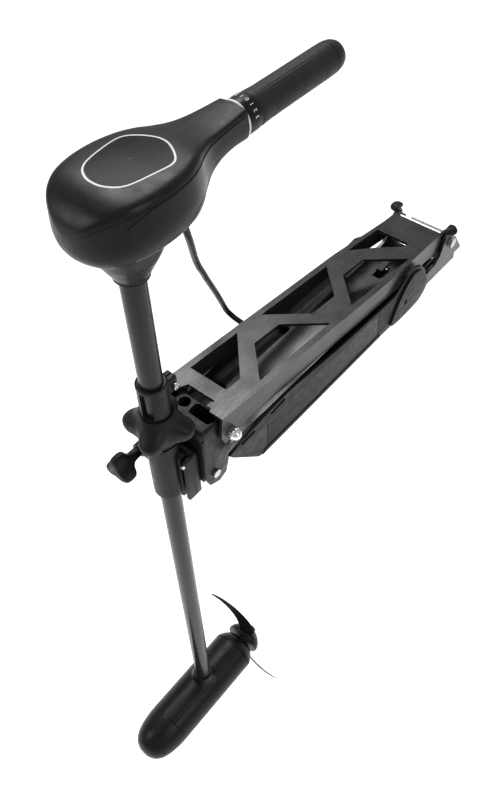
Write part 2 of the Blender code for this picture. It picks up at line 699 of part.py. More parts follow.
# Half of the shield-shaped inset on top of the head.
PANEL = ((8, -23), (21, -16), (28, -4), (33.5, 34), (31, 45), (20, 54), (6, 61))


def panel_outline(scale):
    outline = list(PANEL) + [(-x, d) for x, d in reversed(PANEL)]
    return [(x * scale * MM, inboard(20 + (d - 20) * scale)) for x, d in outline]


def head_top_cover():
    body = head_solid("head_top_cover")
    above = box("above", (-80 * MM, 80 * MM), (inboard(-80), inboard(200)),
                (HEAD_SEAM + GAP, 520 * MM))
    recess = floor_plate("recess", [panel_outline(1.0)], (500 * MM, 520 * MM))
    piece(cut(keep(body, above), recess, head_hollow("hollow")), "housing", "shaft_axis")
    panel = floor_plate("top_panel", [panel_outline(0.98)], (500 * MM + GAP, 520 * MM))
    piece(keep(panel, head_solid("crown")), "light", "shaft_axis")


def side_panels():
    """Gloss insets along both sides of the head, which lie against its skin."""
    stations = HEAD_STATIONS[4:12]

    def panel(side, suffix):
        rings = []
        for station in stations:
            edge = head_section(station)[5:8]
            outer = [(x + 1.6 * MM, y, z) for x, y, z in edge]
            inner = [(x + 0.4 * MM, y, z) for x, y, z in reversed(edge)]
            rings.append([(side * x, y, z) for x, y, z in outer + inner])
        piece(loft(f"side_panel_{suffix}", rings), "gloss", "shaft_axis")

    mirrored(panel)


def handle_core():
    direction = Y_AXIS
    profile = [(10 * MM, 186 * MM), (10 * MM, 0), (6.5 * MM, 0), (6.5 * MM, 186 * MM)]
    core = turned("handle_core", profile, (0, inboard(116), HANDLE_Z), direction, 24)
    piece(core, "composite", "shaft_axis")
    ring = [(18.6 * MM, 22 * MM), (19.8 * MM, 20 * MM), (20 * MM, 3 * MM), (19 * MM, 0)]
    ring += [(10.3 * MM, 0), (10.3 * MM, 22 * MM)]
    index = turned("index_ring", ring, (0, inboard(158), HANDLE_Z), direction, 32)
    piece(index, "housing", "shaft_axis")


def twist_grip():
    profile = [(0, 151 * MM), (8 * MM, 150.2 * MM), (13.5 * MM, 147 * MM), (16.8 * MM, 141 * MM)]
    profile += [(18 * MM, 133 * MM), (18.3 * MM, 118 * MM), (18.3 * MM, 60 * MM), (18.6 * MM, 14 * MM)]
    profile += [(19.2 * MM, 5 * MM), (18.8 * MM, 0), (10.4 * MM, 0), (10.4 * MM, 124 * MM), (0, 124 * MM)]
    grip = turned("twist_grip", profile, (0, inboard(180.4), HANDLE_Z), Y_AXIS, 32)
    piece(grip, "rubber", "grip_axis")
    spindle = rod("switch_spindle", (0, inboard(98), HANDLE_Z), (0, inboard(304), HANDLE_Z),
                  4 * MM, segments=16)
    piece(spindle, "steel", "grip_axis")


def head_inside():
    y = inboard
    switch = rod("speed_switch", (0, y(72), HANDLE_Z), (0, y(100), HANDLE_Z), 17 * MM, segments=24)
    bore = rod("bore", (0, y(90), HANDLE_Z), (0, y(120), HANDLE_Z), 4.4 * MM, segments=16)
    collar = rod("collar", (0, y(99), HANDLE_Z), (0, y(112), HANDLE_Z), 8 * MM, segments=20)
    piece(cut(join(switch, collar), bore), "bushing", "shaft_axis")
    block = box("terminal_block", (-22 * MM, 22 * MM), (y(-34), y(-20)), (440 * MM, 458 * MM))
    piece(bevel(block, 1.5 * MM, 1), "board", "shaft_axis")
    profile = [(8.5 * MM, 26 * MM), (8.5 * MM, 23 * MM), (6 * MM, 22 * MM), (6 * MM, 4 * MM)]
    profile += [(7.5 * MM, 4 * MM), (5.5 * MM, -10 * MM), (4.7 * MM, -10 * MM), (4.7 * MM, 26 * MM)]
    gland = turned("cable_gland", profile, (6 * MM, y(72), 424 * MM), Z_AXIS, 20)
    piece(gland, "rubber", "shaft_axis")


# ---------------------------------------------------------------- the motor


def motor_housing():
    start = (0, inboard(-105), MOTOR_Z)
    wall = [(MOTOR_RADIUS, 190 * MM), (MOTOR_RADIUS, 0)]
    wall += [(MOTOR_RADIUS - 3 * MM, 0), (MOTOR_RADIUS - 3 * MM, 190 * MM)]
    body = turned("motor_housing", wall, start, Y_AXIS, 40)
    boss = rod("boss", (0, SHAFT_Y, -658 * MM), (0, SHAFT_Y, -634 * MM), 21 * MM, 17.5 * MM, 32)
    bore = rod("bore", (0, SHAFT_Y, SHAFT_BOTTOM - GAP), (0, SHAFT_Y, -600 * MM),
               SHAFT_RADIUS + GAP, segments=32)
    wires = rod("wires", (0, SHAFT_Y, -670 * MM), (0, SHAFT_Y, -640 * MM), 9 * MM, segments=20)
    piece(cut(join(body, boss), bore, wires), "housing", "shaft_axis")
    outer = [(r * MOTOR_RADIUS, h * MM) for r, h in
             ((0, 70), (0.3, 68.6), (0.55, 63), (0.76, 52), (0.9, 36), (0.98, 17), (1, 4), (1, 0.3))]
    inner = [(r * MOTOR_RADIUS, h * MM) for r, h in ((0.86, 0.3), (0.86, 14), (0.6, 38), (0, 52))]
    nose = turned("nose_cone", outer + inner, start, -Y_AXIS, 40)
    piece(nose, "housing", "shaft_axis")
    tail = [(18 * MM, 28 * MM), (30 * MM, 22 * MM), (39 * MM, 12 * MM), (MOTOR_RADIUS, 0.3 * MM)]
    tail += [(36 * MM, 0.3 * MM), (30 * MM, 10 * MM), (10.3 * MM, 14 * MM), (10.3 * MM, 28 * MM)]
    cap = turned("tail_cap", tail, (0, inboard(85), MOTOR_Z), Y_AXIS, 40)
    piece(cap, "housing", "shaft_axis")


def motor_inside():
    y = inboard
    seal = [(10 * MM, 12 * MM), (10 * MM, 0), (6.4 * MM, 0), (6.4 * MM, 12 * MM)]
    piece(turned("shaft_seal", seal, (0, y(100), MOTOR_Z), Y_AXIS, 24), "rubber", "shaft_axis")
    plate = [(37 * MM, 6 * MM), (37 * MM, 0), (16 * MM, 0), (16 * MM, 6 * MM)]
    ring = turned("brush_plate", plate, (0, y(-82), MOTOR_Z), Y_AXIS, 24)
    piece(ring, "board", "shaft_axis")
    bearing = [(16 * MM, 8 * MM), (16 * MM, 0), (6.4 * MM, 0), (6.4 * MM, 8 * MM)]
    front = turned("front_bearing", bearing, (0, y(-112), MOTOR_Z), Y_AXIS, 24)
    piece(front, "steel", "shaft_axis")
    lengthways = Matrix.Translation((0, SHAFT_Y, MOTOR_Z)) @ Matrix.Rotation(math.pi / 2, 4, "X")

    def magnet(side, suffix):
        outer = arc((0, 0), 39.6 * MM, -62, 62, 11)
        inner = arc((0, 0), 33 * MM, 62, -62, 11)
        outline = [(side * a, b) for a, b in outer + inner]
        piece(prism(f"magnet_{suffix}", [outline], 118 * MM, lengthways), "magnet", "shaft_axis")

    mirrored(magnet)
    slots = 12
    core = []
    for i in range(slots):
        middle = 360 / slots * i
        core += arc((0, 0), 31.5 * MM, middle - 11, middle + 11, 4)
        core += arc((0, 0), 22 * MM, middle + 13, middle + 17, 2)
    rotor = prism("armature", [core], 104 * MM, lengthways)
    bore = rod("bore", (0, y(-70), MOTOR_Z), (0, y(70), MOTOR_Z), 6.3 * MM, segments=20)
    drum = rod("commutator", (0, y(-90), MOTOR_Z), (0, y(-50), MOTOR_Z), 13 * MM, segments=24)
    long_bore = rod("long_bore", (0, y(-99), MOTOR_Z), (0, y(-40), MOTOR_Z), 6.3 * MM, segments=20)
    piece(cut(join(rotor, drum), bore, long_bore), "copper", "propeller_axis")
    spindle = rod("motor_shaft", (0, y(-114), MOTOR_Z), (0, y(147.6), MOTOR_Z), 6 * MM, segments=20)
    cross = rod("cross", (-8 * MM, y(124), MOTOR_Z), (8 * MM, y(124), MOTOR_Z), 2.4 * MM,
                segments=12)
    piece(cut(spindle, cross), "steel", "propeller_axis")


BLADE = ((22, 24, -6, 44), (34, 29, -4, 34), (56, 30, 2, 26), (80, 27, 12, 20), (100, 22, 24, 17),
         (114, 16, 37, 15), (123, 8, 51, 14))


def blade_rings(turn):
    """Sections of a swept blade: each one's radius, width, sweep in degrees and pitch angle."""
    rings = []
    for radius, chord, sweep, pitch in BLADE:
        thick = 2.1 * (1 - radius / 170)
        section = [(0.5, 0), (0.25, thick), (-0.25, thick), (-0.5, 0), (-0.25, -thick), (0.25, -thick)]
        ring = []
        for across, off in section:
            angle = math.radians(turn + sweep)
            angle += chord * across * math.cos(math.radians(pitch)) / radius
            along = off - chord * across * math.sin(math.radians(pitch))
            rake = 2 * (radius / 125) ** 2
            ring.append((radius * MM * math.cos(angle), inboard(125 - rake + along),
                         MOTOR_Z + radius * MM * math.sin(angle)))
        rings.append(ring)
    return rings


def propeller():
    y = inboard
    hub = [(r * MM, h * MM) for r, h in ((14, 28), (21, 24), (28, 18), (33, 12), (35.5, 6), (34.5, 0))]
    hub += [(6.3 * MM, 0), (6.3 * MM, 28 * MM)]
    body = turned("propeller", hub, (0, y(116), MOTOR_Z), Y_AXIS, 32)
    blades = [loft("blade", blade_rings(turn)) for turn in (81, 261)]
    bore = rod("bore", (0, y(100), MOTOR_Z), (0, y(160), MOTOR_Z), 6.3 * MM, segments=20)
    key = box("key", (-14 * MM, 14 * MM), (y(115), y(127)), (MOTOR_Z - 2.6 * MM, MOTOR_Z + 2.6 * MM))
    piece(cut(join(body, *blades), bore, key), "housing", "propeller_axis")
    pin = rod("drive_pin", (-13 * MM, y(124), MOTOR_Z), (13 * MM, y(124), MOTOR_Z), 2.2 * MM,
              segments=12)
    piece(pin, "steel", "propeller_axis")
    nut = [(0, 8 * MM), (5 * MM, 7.4 * MM), (9.5 * MM, 5 * MM), (10.5 * MM, 0.4 * MM)]
    nut += [(6.3 * MM, 0.4 * MM), (6.3 * MM, 4 * MM), (0, 4 * MM)]
    piece(turned("propeller_nut", nut, (0, y(144), MOTOR_Z), Y_AXIS, 12), "housing",
          "propeller_axis")


# ---------------------------------------------------------------- the power cable

CABLE_RADIUS = 4 * MM
CABLE_PATH = ((6, 72, 420), (5, 73, 402), (2, 78, 388), (-4, 86, 372), (-12, 95.5, 354),
              (-20, 105, 335), (-28, 115, 315), (-36, 127, 292), (-43.5, 140, 270),
              (-51, 153, 247), (-58.5, 167, 223), (-65.5, 181, 198), (-72, 195, 172),
              (-76.8, 206, 150), (-78.4, 213.2, 133.8), (-77.3, 217.4, 124.9),
              (-72.3, 221, 117.1), (-64.2, 223.5, 111.8), (-54.5, 224.3, 109.9),
              (-38, 224.3, 109.9))


def power_cable():
    curve = bpy.data.curves.new("power_cable", "CURVE")
    curve.dimensions = "3D"
    curve.bevel_depth = CABLE_RADIUS
    curve.bevel_resolution = 2
    curve.use_fill_caps = True
    spline = curve.splines.new("POLY")
    spline.points.add(len(CABLE_PATH) - 1)
    for point, (x, d, z) in zip(spline.points, CABLE_PATH):
        point.co = (x * MM, inboard(d), z * MM, 1)
    cable = bpy.data.objects.new("power_cable", curve)
    bpy.context.scene.collection.objects.link(cable)
    piece(cable, "cable", "arm_axis")


def main():
    axis("arm_axis", *ARM_PIVOT)
    axis("link_axis", *LINK_REAR)
    axis("latch_axis", inboard(490), 42 * MM)
    axis("carrier_axis", *CARRIER_PIVOT)
    axis("knob_axis", SHAFT_Y, KNOB_AXIS[1], x=KNOB_AXIS[0])
    for name, z in (("collar_axis", 104), ("clamp_axis", 138), ("shaft_axis", 371)):
        axis(name, SHAFT_Y, z * MM)
    axis("grip_axis", inboard(180), HANDLE_Z)
    axis("propeller_axis", inboard(124), MOTOR_Z)
    base_channel()
    side_covers()
    hinge_plates()
    rear_pivot()
    link_pivot_and_catch()
    arm_channel()
    arm_fittings()
    lower_link()
    latch()
    carrier_casting()
    pivot_housing()
    steering_bushings()
    carrier_fasteners()
    tension_knob()
    depth_collar()
    clamp_knob()
    shaft_tube()
    head_lower_housing()
    head_top_cover()
    side_panels()
    handle_core()
    twist_grip()
    head_inside()
    motor_housing()
    motor_inside()
    propeller()
    power_cable()


main()
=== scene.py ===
"""The looks of the bow-mounted trolling motor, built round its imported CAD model."""

import math

import bmesh
import bpy
from mathutils import Matrix, Vector


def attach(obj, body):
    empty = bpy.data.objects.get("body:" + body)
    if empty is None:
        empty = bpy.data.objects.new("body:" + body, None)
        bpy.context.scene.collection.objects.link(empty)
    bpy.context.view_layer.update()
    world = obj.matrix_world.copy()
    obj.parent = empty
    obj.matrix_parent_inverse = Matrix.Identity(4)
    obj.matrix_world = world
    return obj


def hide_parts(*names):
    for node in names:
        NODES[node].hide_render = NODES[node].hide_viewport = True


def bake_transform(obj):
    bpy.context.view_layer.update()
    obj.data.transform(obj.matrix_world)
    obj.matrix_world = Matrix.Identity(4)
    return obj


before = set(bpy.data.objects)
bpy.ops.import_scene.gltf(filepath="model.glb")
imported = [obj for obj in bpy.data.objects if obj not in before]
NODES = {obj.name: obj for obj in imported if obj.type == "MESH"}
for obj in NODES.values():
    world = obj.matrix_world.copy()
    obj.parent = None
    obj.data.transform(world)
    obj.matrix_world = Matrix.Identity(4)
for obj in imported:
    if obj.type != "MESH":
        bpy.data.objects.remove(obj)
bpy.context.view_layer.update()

MM = 0.001
SHAFT_Y = -0.405
SHAFT_RADIUS = 14.3
HANDLE_Z = 476
MOTOR_Z = -694
MOTOR_RADIUS = 43
X_AXIS, Y_AXIS, Z_AXIS = Vector((1, 0, 0)), Vector((0, 1, 0)), Vector((0, 0, 1))


def at(x, distance, z):
    """A place in the frame from millimetres across, inboard of the shaft and up."""
    return Vector((x * MM, SHAFT_Y + distance * MM, z * MM))


# ---------------------------------------------------------------- camera

camera = bpy.data.objects.new("camera", bpy.data.cameras.new("camera"))
bpy.context.scene.collection.objects.link(camera)
bpy.context.scene.camera = camera
camera.data.lens = 35.8
camera.data.sensor_width = 36
camera.data.clip_start = 0.01


def aim_camera(place, azimuth, pitch, roll):
    """Looks down by pitch towards azimuth, counted from +Y towards -X, all in degrees."""
    a, p, r = math.radians(azimuth), math.radians(pitch), math.radians(roll)
    forward = Vector((-math.sin(a) * math.cos(p), math.cos(a) * math.cos(p), -math.sin(p)))
    right = Vector((math.cos(a), math.sin(a), 0))
    up = right.cross(forward)
    level_right = right * math.cos(r) + up * math.sin(r)
    level_up = up * math.cos(r) - right * math.sin(r)
    turn = Matrix((level_right, level_up, -forward)).transposed().to_4x4()
    camera.matrix_world = Matrix.Translation(place) @ turn


aim_camera(Vector((0.4718, -0.7759, 0.900)), 41.44, 50.26, -2.18)


# ---------------------------------------------------------------- materials


class Finish:
    """A procedural material on object coordinates, built up a layer at a time."""

    def __init__(self, name, colour, roughness, metallic=0.0, **sockets):
        self.material = bpy.data.materials.new(name)
        self.material.use_nodes = True
        self.nodes = self.material.node_tree.nodes
        self.links = self.material.node_tree.links
        self.shader = self.nodes["Principled BSDF"]
        self.shader.inputs["Base Color"].default_value = (*colour, 1)
        self.shader.inputs["Roughness"].default_value = roughness
        self.shader.inputs["Metallic"].default_value = metallic
        self.shader.inputs["Specular IOR Level"].default_value = 0.16
        for socket, value in sockets.items():
            self.shader.inputs[socket.replace("_", " ")].default_value = value
        self.place = self.nodes.new("ShaderNodeTexCoord").outputs["Object"]
        self.normal = None

    def noise(self, scale, detail=4.0, stretch=(1, 1, 1)):
        mapping = self.nodes.new("ShaderNodeMapping")
        mapping.inputs["Scale"].default_value = stretch
        self.links.new(self.place, mapping.inputs["Vector"])
        noise = self.nodes.new("ShaderNodeTexNoise")
        noise.inputs["Scale"].default_value = scale
        noise.inputs["Detail"].default_value = detail
        self.links.new(mapping.outputs["Vector"], noise.inputs["Vector"])
        return noise.outputs["Fac"]

    def cells(self, scale):
        cells = self.nodes.new("ShaderNodeTexVoronoi")
        cells.inputs["Scale"].default_value = scale
        self.links.new(self.place, cells.inputs["Vector"])
        return cells.outputs["Distance"]

    def edges(self, radius, low=0.02, high=0.22):
        """Where the surface turns a sharp corner, from the rounded and the true normal."""
        rounded = self.nodes.new("ShaderNodeBevel")
        rounded.samples = 4
        rounded.inputs["Radius"].default_value = radius
        true = self.nodes.new("ShaderNodeNewGeometry")
        dot = self.nodes.new("ShaderNodeVectorMath")
        dot.operation = "DOT_PRODUCT"
        self.links.new(rounded.outputs["Normal"], dot.inputs[0])
        self.links.new(true.outputs["Normal"], dot.inputs[1])
        return self.ranged(dot.outputs["Value"], 1 - low, 1 - high, 0, 1)

    def ranged(self, value, from_low, from_high, low, high):
        node = self.nodes.new("ShaderNodeMapRange")
        for socket, number in zip(("From Min", "From Max", "To Min", "To Max"),
                                  (from_low, from_high, low, high)):
            node.inputs[socket].default_value = number
        self.links.new(value, node.inputs["Value"])
        return node.outputs["Result"]

    def times(self, a, b):
        node = self.nodes.new("ShaderNodeMath")
        node.operation = "MULTIPLY"
        self.links.new(a, node.inputs[0])
        self.links.new(b, node.inputs[1])
        return node.outputs["Value"]

    def colour(self, factor, other):
        """Mixes this colour over what is there already, by factor."""
        mix = self.nodes.new("ShaderNodeMix")
        mix.data_type = "RGBA"
        base = self.shader.inputs["Base Color"]
        if base.is_linked:
            self.links.new(base.links[0].from_socket, mix.inputs[6])
        else:
            mix.inputs[6].default_value = base.default_value
        mix.inputs[7].default_value = (*other, 1)
        self.links.new(factor, mix.inputs[0])
        self.links.new(mix.outputs[2], base)
        return self

    def rough(self, factor, low, high):
        result = self.ranged(factor, 0.3, 0.7, low, high)
        self.links.new(result, self.shader.inputs["Roughness"])
        return self

    def bump(self, height, strength, distance):
        node = self.nodes.new("ShaderNodeBump")
        node.inputs["Strength"].default_value = strength
        node.inputs["Distance"].default_value = distance
        self.links.new(height, node.inputs["Height"])
        if self.normal:
            self.links.new(self.normal, node.inputs["Normal"])
        self.normal = node.outputs["Normal"]
        self.links.new(self.normal, self.shader.inputs["Normal"])
        return self


def moulded(name, colour, lighter, roughness, grain=1500, depth=0.5, **sockets):
    """Moulded plastic: a fine leathery grain and faint mottling."""
    made = Finish(name, colour, roughness, **sockets)
    cloud = made.noise(28)
    made.colour(made.ranged(cloud, 0.35, 0.75, 0, 1), lighter)
    made.rough(made.noise(90, 6), roughness - 0.07, roughness + 0.08)
    made.bump(made.noise(grain, 2), depth, 0.00012)
    made.bump(made.cells(grain * 0.55), depth * 0.5, 0.00008)
    return made


def metal(name, colour, darker, low, high, stretch, **sockets):
    """Metal with fine lines along one way, and duller patches."""
    made = Finish(name, colour, low, 1.0, **sockets)
    lines = made.noise(900, 3, stretch)
    made.colour(made.ranged(made.noise(45, 5), 0.4, 0.8, 0, 1), darker)
    made.rough(lines, low, high)
    made.bump(lines, 0.12, 0.00006)
    return made


def make_finishes():
    made = {}
    made["housing"] = moulded("black_housing", (0.0050, 0.0050, 0.0052),
                              (0.0085, 0.0085, 0.0088), 0.34)
    made["cover"] = moulded("moulded_cover", (0.0050, 0.0050, 0.0048),
                            (0.0080, 0.0080, 0.0078), 0.42, grain=1100, depth=0.7)
    made["rubber"] = moulded("rubber", (0.0045, 0.0045, 0.0045), (0.0080, 0.0080, 0.0078), 0.45,
                             grain=2200)
    made["grip"] = moulded("soft_grip", (0.012, 0.012, 0.0125), (0.018, 0.018, 0.0185), 0.46,
                           grain=1900, depth=0.8)
    made["bushing"] = moulded("bearing_plastic", (0.004, 0.004, 0.004), (0.008, 0.008, 0.008), 0.30)
    made["board"] = moulded("terminal_board", (0.06, 0.05, 0.03), (0.08, 0.06, 0.03), 0.6)
    made["cable"] = moulded("cable_jacket", (0.004, 0.004, 0.004), (0.008, 0.008, 0.008), 0.38,
                            grain=700, depth=0.3)
    made["light"] = moulded("light_line", (0.62, 0.62, 0.62), (0.70, 0.70, 0.69), 0.35, depth=0.1)
    ink = Finish("inset_panel", (0.0030, 0.0032, 0.0045), 0.30)
    ink.rough(ink.noise(700, 3), 0.27, 0.34).bump(ink.noise(1800, 2), 0.10, 0.00005)
    ink.shader.inputs["Specular IOR Level"].default_value = 0.08
    made["ink"] = ink
    gloss = Finish("gloss_panel", (0.0025, 0.0025, 0.0028), 0.16, Coat_Weight=0.1)
    gloss.rough(gloss.noise(160, 6), 0.13, 0.22)
    gloss.bump(gloss.noise(60, 2), 0.05, 0.0002)
    made["gloss"] = gloss

    painted = Finish("painted_aluminium", (0.075, 0.075, 0.076), 0.3, 0.85)
    streaks = painted.noise(420, 5, (1, 0.035, 1))
    painted.colour(painted.ranged(painted.noise(24, 6), 0.35, 0.8, 0, 1), (0.042, 0.042, 0.0425))
    scuffs = painted.ranged(painted.noise(260, 6), 0.52, 0.66, 0, 1)
    worn = painted.times(painted.edges(0.0008), scuffs)
    painted.colour(worn, (0.30, 0.30, 0.30))
    painted.rough(streaks, 0.24, 0.40)
    painted.bump(streaks, 0.10, 0.00008).bump(painted.noise(1300, 2), 0.22, 0.00005)
    made["painted"] = painted

    cast = Finish("cast_aluminium", (0.0080, 0.0080, 0.0078), 0.36, 0.1)
    cast.colour(cast.ranged(cast.noise(35, 6), 0.4, 0.8, 0, 1), (0.014, 0.014, 0.0138))
    worn = cast.times(cast.edges(0.0011), cast.ranged(cast.noise(210, 5), 0.46, 0.62, 0, 1))
    cast.colour(worn, (0.22, 0.22, 0.22))
    cast.rough(cast.noise(120, 6), 0.28, 0.46)
    cast.bump(cast.noise(520, 4), 0.35, 0.00022)
    made["cast"] = cast

    tube = Finish("composite_tube", (0.014, 0.0125, 0.0105), 0.28, 0.0, Coat_Weight=0.12)
    fibres = tube.noise(600, 4, (1, 1, 0.02))
    tube.colour(tube.ranged(fibres, 0.35, 0.75, 0, 1), (0.009, 0.008, 0.0068))
    # Broad lighter streaks along the tube are painted sheen, not a real mark on it.
    painted_sheen_streaks = tube.noise(40, 6, (1, 1, 0.25))
    tube.colour(tube.ranged(painted_sheen_streaks, 0.5, 0.8, 0, 1), (0.022, 0.019, 0.0155))
    tube.rough(tube.noise(130, 5), 0.20, 0.32).bump(fibres, 0.25, 0.00009)
    made["composite"] = tube

    made["steel"] = metal("stainless_steel", (0.62, 0.62, 0.60), (0.42, 0.42, 0.41), 0.16, 0.36,
                          (1, 1, 0.06))
    made["chrome"] = metal("chrome", (0.85, 0.85, 0.86), (0.62, 0.62, 0.63), 0.04, 0.14, (1, 1, 1))
    made["copper"] = metal("copper", (0.72, 0.36, 0.20), (0.45, 0.20, 0.10), 0.25, 0.45,
                           (1, 0.08, 1))
    made["magnet"] = metal("magnet", (0.10, 0.10, 0.11), (0.06, 0.06, 0.06), 0.45, 0.6, (1, 1, 1))
    return made


FINISHES = make_finishes()

# ---------------------------------------------------------------- shapes


def linked(name, mesh):
    obj = bpy.data.objects.new(name, mesh)
    bpy.context.scene.collection.objects.link(obj)
    return obj


def from_bmesh(name, shape):
    mesh = bpy.data.meshes.new(name)
    bmesh.ops.recalc_face_normals(shape, faces=shape.faces)
    shape.to_mesh(mesh)
    shape.free()
    return linked(name, mesh)


def box(x, distance, z):
    """A block between two values in millimetres each way."""
    shape = bmesh.new()
    low, high = at(x[0], distance[0], z[0]), at(x[1], distance[1], z[1])
    size = Matrix.Diagonal((*(high - low), 1))
    bmesh.ops.create_cube(shape, size=1, matrix=Matrix.Translation((low + high) / 2) @ size)
    return from_bmesh("block", shape)


def rod(start, end, radius, end_radius=None, segments=48):
    """A cylinder or cone between two points, its radius in millimetres."""
    turn = Z_AXIS.rotation_difference(end - start).to_matrix().to_4x4()
    shape = bmesh.new()
    last = radius if end_radius is None else end_radius
    bmesh.ops.create_cone(shape, cap_ends=True, segments=segments, radius1=radius * MM,
                          radius2=last * MM, depth=(end - start).length,
                          matrix=Matrix.Translation((start + end) / 2) @ turn)
    return from_bmesh("rod", shape)


def cross_rod(distance, z, x, radius, segments=48):
    return rod(at(x[0], distance, z), at(x[1], distance, z), radius, segments=segments)


def prism(outlines, depth, place):
    """Flat outlines in millimetres, the first outside and others holes, made this deep."""
    curve = bpy.data.curves.new("outline", "CURVE")
    curve.dimensions = "2D"
    curve.fill_mode = "BOTH"
    curve.extrude = depth * MM / 2
    for outline in outlines:
        spline = curve.splines.new("POLY")
        spline.points.add(len(outline) - 1)
        spline.use_cyclic_u = True
        for point, (a, b) in zip(spline.points, outline):
            point.co = (a * MM, b * MM, 0, 1)
    flat = linked("outline", curve)
    mesh = bpy.data.meshes.new_from_object(flat)
    bpy.data.objects.remove(flat)
    mesh.transform(place)
    shape = bmesh.new()
    shape.from_mesh(mesh)
    bmesh.ops.remove_doubles(shape, verts=shape.verts, dist=0.000001)
    return from_bmesh("prism", shape)


SIDEWAYS = Matrix(((0, 0, 1, 0), (1, 0, 0, 0), (0, 1, 0, 0), (0, 0, 0, 1)))


def side_plate(outlines, x):
    """A plate seen from the side, drawn in (inboard, z), between two values of x."""
    middle = Matrix.Translation(((x[0] + x[1]) / 2 * MM, SHAFT_Y, 0))
    return prism(outlines, x[1] - x[0], middle @ SIDEWAYS)


def loft(rings, wrap=False):
    """A closed skin through rings of points, capped at its ends or joined round."""
    shape = bmesh.new()
    rows = [[shape.verts.new(point) for point in ring] for ring in rings]
    for low, high in zip(rows, rows[1:] + (rows[:1] if wrap else [])):
        for i in range(len(low)):
            j = (i + 1) % len(low)
            shape.faces.new((low[i], low[j], high[j], high[i]))
    if not wrap:
        shape.faces.new(rows[0])
        shape.faces.new(rows[-1])
    return from_bmesh("loft", shape)


def lathe(profile, origin, direction=Z_AXIS, steps=96, lobes=None):
    """A turned shape from (radius, height) points in millimetres, closed through its axis or bore.

    lobes, if given, takes the angle and the height and returns what to multiply the radius by.
    """
    turn = Z_AXIS.rotation_difference(direction).to_matrix()
    shape = bmesh.new()
    rows = []
    for radius, height in profile:
        ring = []
        for i in range(steps if radius > 0 else 1):
            angle = 2 * math.pi * i / steps
            r = radius * (lobes(angle, height, radius) if lobes else 1)
            point = Vector((r * math.cos(angle), r * math.sin(angle), height)) * MM
            ring.append(shape.verts.new(origin + turn @ point))
        rows.append(ring)
    closing = rows[1:] + ([rows[0]] if len(rows[0]) > 1 and len(rows[-1]) > 1 else [])
    for low, high in zip(rows, closing):
        for i in range(steps):
            j = (i + 1) % steps
            if len(low) == 1:
                if len(high) > 1:
                    shape.faces.new((low[0], high[j], high[i]))
            elif len(high) == 1:
                shape.faces.new((low[i], low[j], high[0]))
            else:
                shape.faces.new((low[i], low[j], high[j], high[i]))
    return from_bmesh("lathe", shape)


def arc(centre, radius, start, end, points):
    turns = [math.radians(start + (end - start) * i / (points - 1)) for i in range(points)]
    return [(centre[0] + radius * math.cos(t), centre[1] + radius * math.sin(t)) for t in turns]


def smoothed(points, per, closed=False):
    """More points on the smooth line through these ones."""
    count = len(points)
    vectors = [Vector(p) for p in points]

    def pick(i):
        return vectors[i % count] if closed else vectors[max(0, min(count - 1, i))]

    made = []
    for i in range(count if closed else count - 1):
        p, q, r, s = pick(i - 1), pick(i), pick(i + 1), pick(i + 2)
        for k in range(per):
            t = k / per
            made.append(0.5 * (2 * q + (r - p) * t + (2 * p - 5 * q + 4 * r - s) * t * t
                               + (3 * q - p - 3 * r + s) * t * t * t))
    if not closed:
        made.append(vectors[-1])
    return [tuple(v) for v in made]


def rounded(outline, times=3, share=0.22):
    """A closed outline with its corners cut until they are round."""
    points = [Vector(p) for p in outline]
    for _ in range(times):
        cut = []
        for a, b in zip(points, points[1:] + points[:1]):
            cut += [a.lerp(b, share), a.lerp(b, 1 - share)]
        points = cut
    return [tuple(p) for p in points]


def bake(obj):
    """Applies an object's modifiers."""
    graph = bpy.context.evaluated_depsgraph_get()
    mesh = bpy.data.meshes.new_from_object(obj.evaluated_get(graph))
    obj.modifiers.clear()
    obj.data = mesh
    return obj


def combine(obj, operation, others):
    for other in others:
        boolean = obj.modifiers.new(operation, "BOOLEAN")
        boolean.operation = operation
        boolean.solver = "EXACT"
        boolean.object = other
    bake(obj)
    for other in others:
        bpy.data.objects.remove(other)
    return obj


def cut(obj, *others):
    return combine(obj, "DIFFERENCE", others)


def join(obj, *others):
    return combine(obj, "UNION", others)


def bevel(obj, width, segments=3, angle=35):
    edges = obj.modifiers.new("Bevel", "BEVEL")
    edges.width = width * MM
    edges.segments = segments
    edges.limit_method = "ANGLE"
    edges.angle_limit = math.radians(angle)
    return obj


def piece(obj, name, finish, body, *nodes, slot=None, edge=0.0, smooth=38):
    """Makes obj a piece of the product, on a body if it keeps to one, in place of these nodes."""
    obj.name = name
    obj.data.name = name
    if edge:
        bevel(obj, edge)
    bake(obj)
    obj.data.shade_smooth()
    obj.data.set_sharp_from_angle(angle=math.radians(smooth))
    obj.data.materials.clear()
    obj.data.materials.append(FINISHES[finish].material)
    if body:
        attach(obj, body)
    if nodes:
        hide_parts(*nodes)
    return obj


def carry(finish, *nodes, edge=0.0):
    """Keeps CAD nodes as they are, with a finer finish and, where it shows, softened edges."""
    for name in nodes:
        node = NODES[name]
        for slot in node.material_slots:
            slot.material = FINISHES[finish].material
        if edge:
            weld = node.modifiers.new("Weld", "WELD")
            weld.merge_threshold = 0.00002
            bevel(node, edge, 2)


def each_side(function):
    for side, suffix in ((1, "right"), (-1, "left")):
        function(side, suffix)


def span(side, low, high):
    return tuple(sorted((side * low, side * high)))


# ---------------------------------------------------------------- the power cable

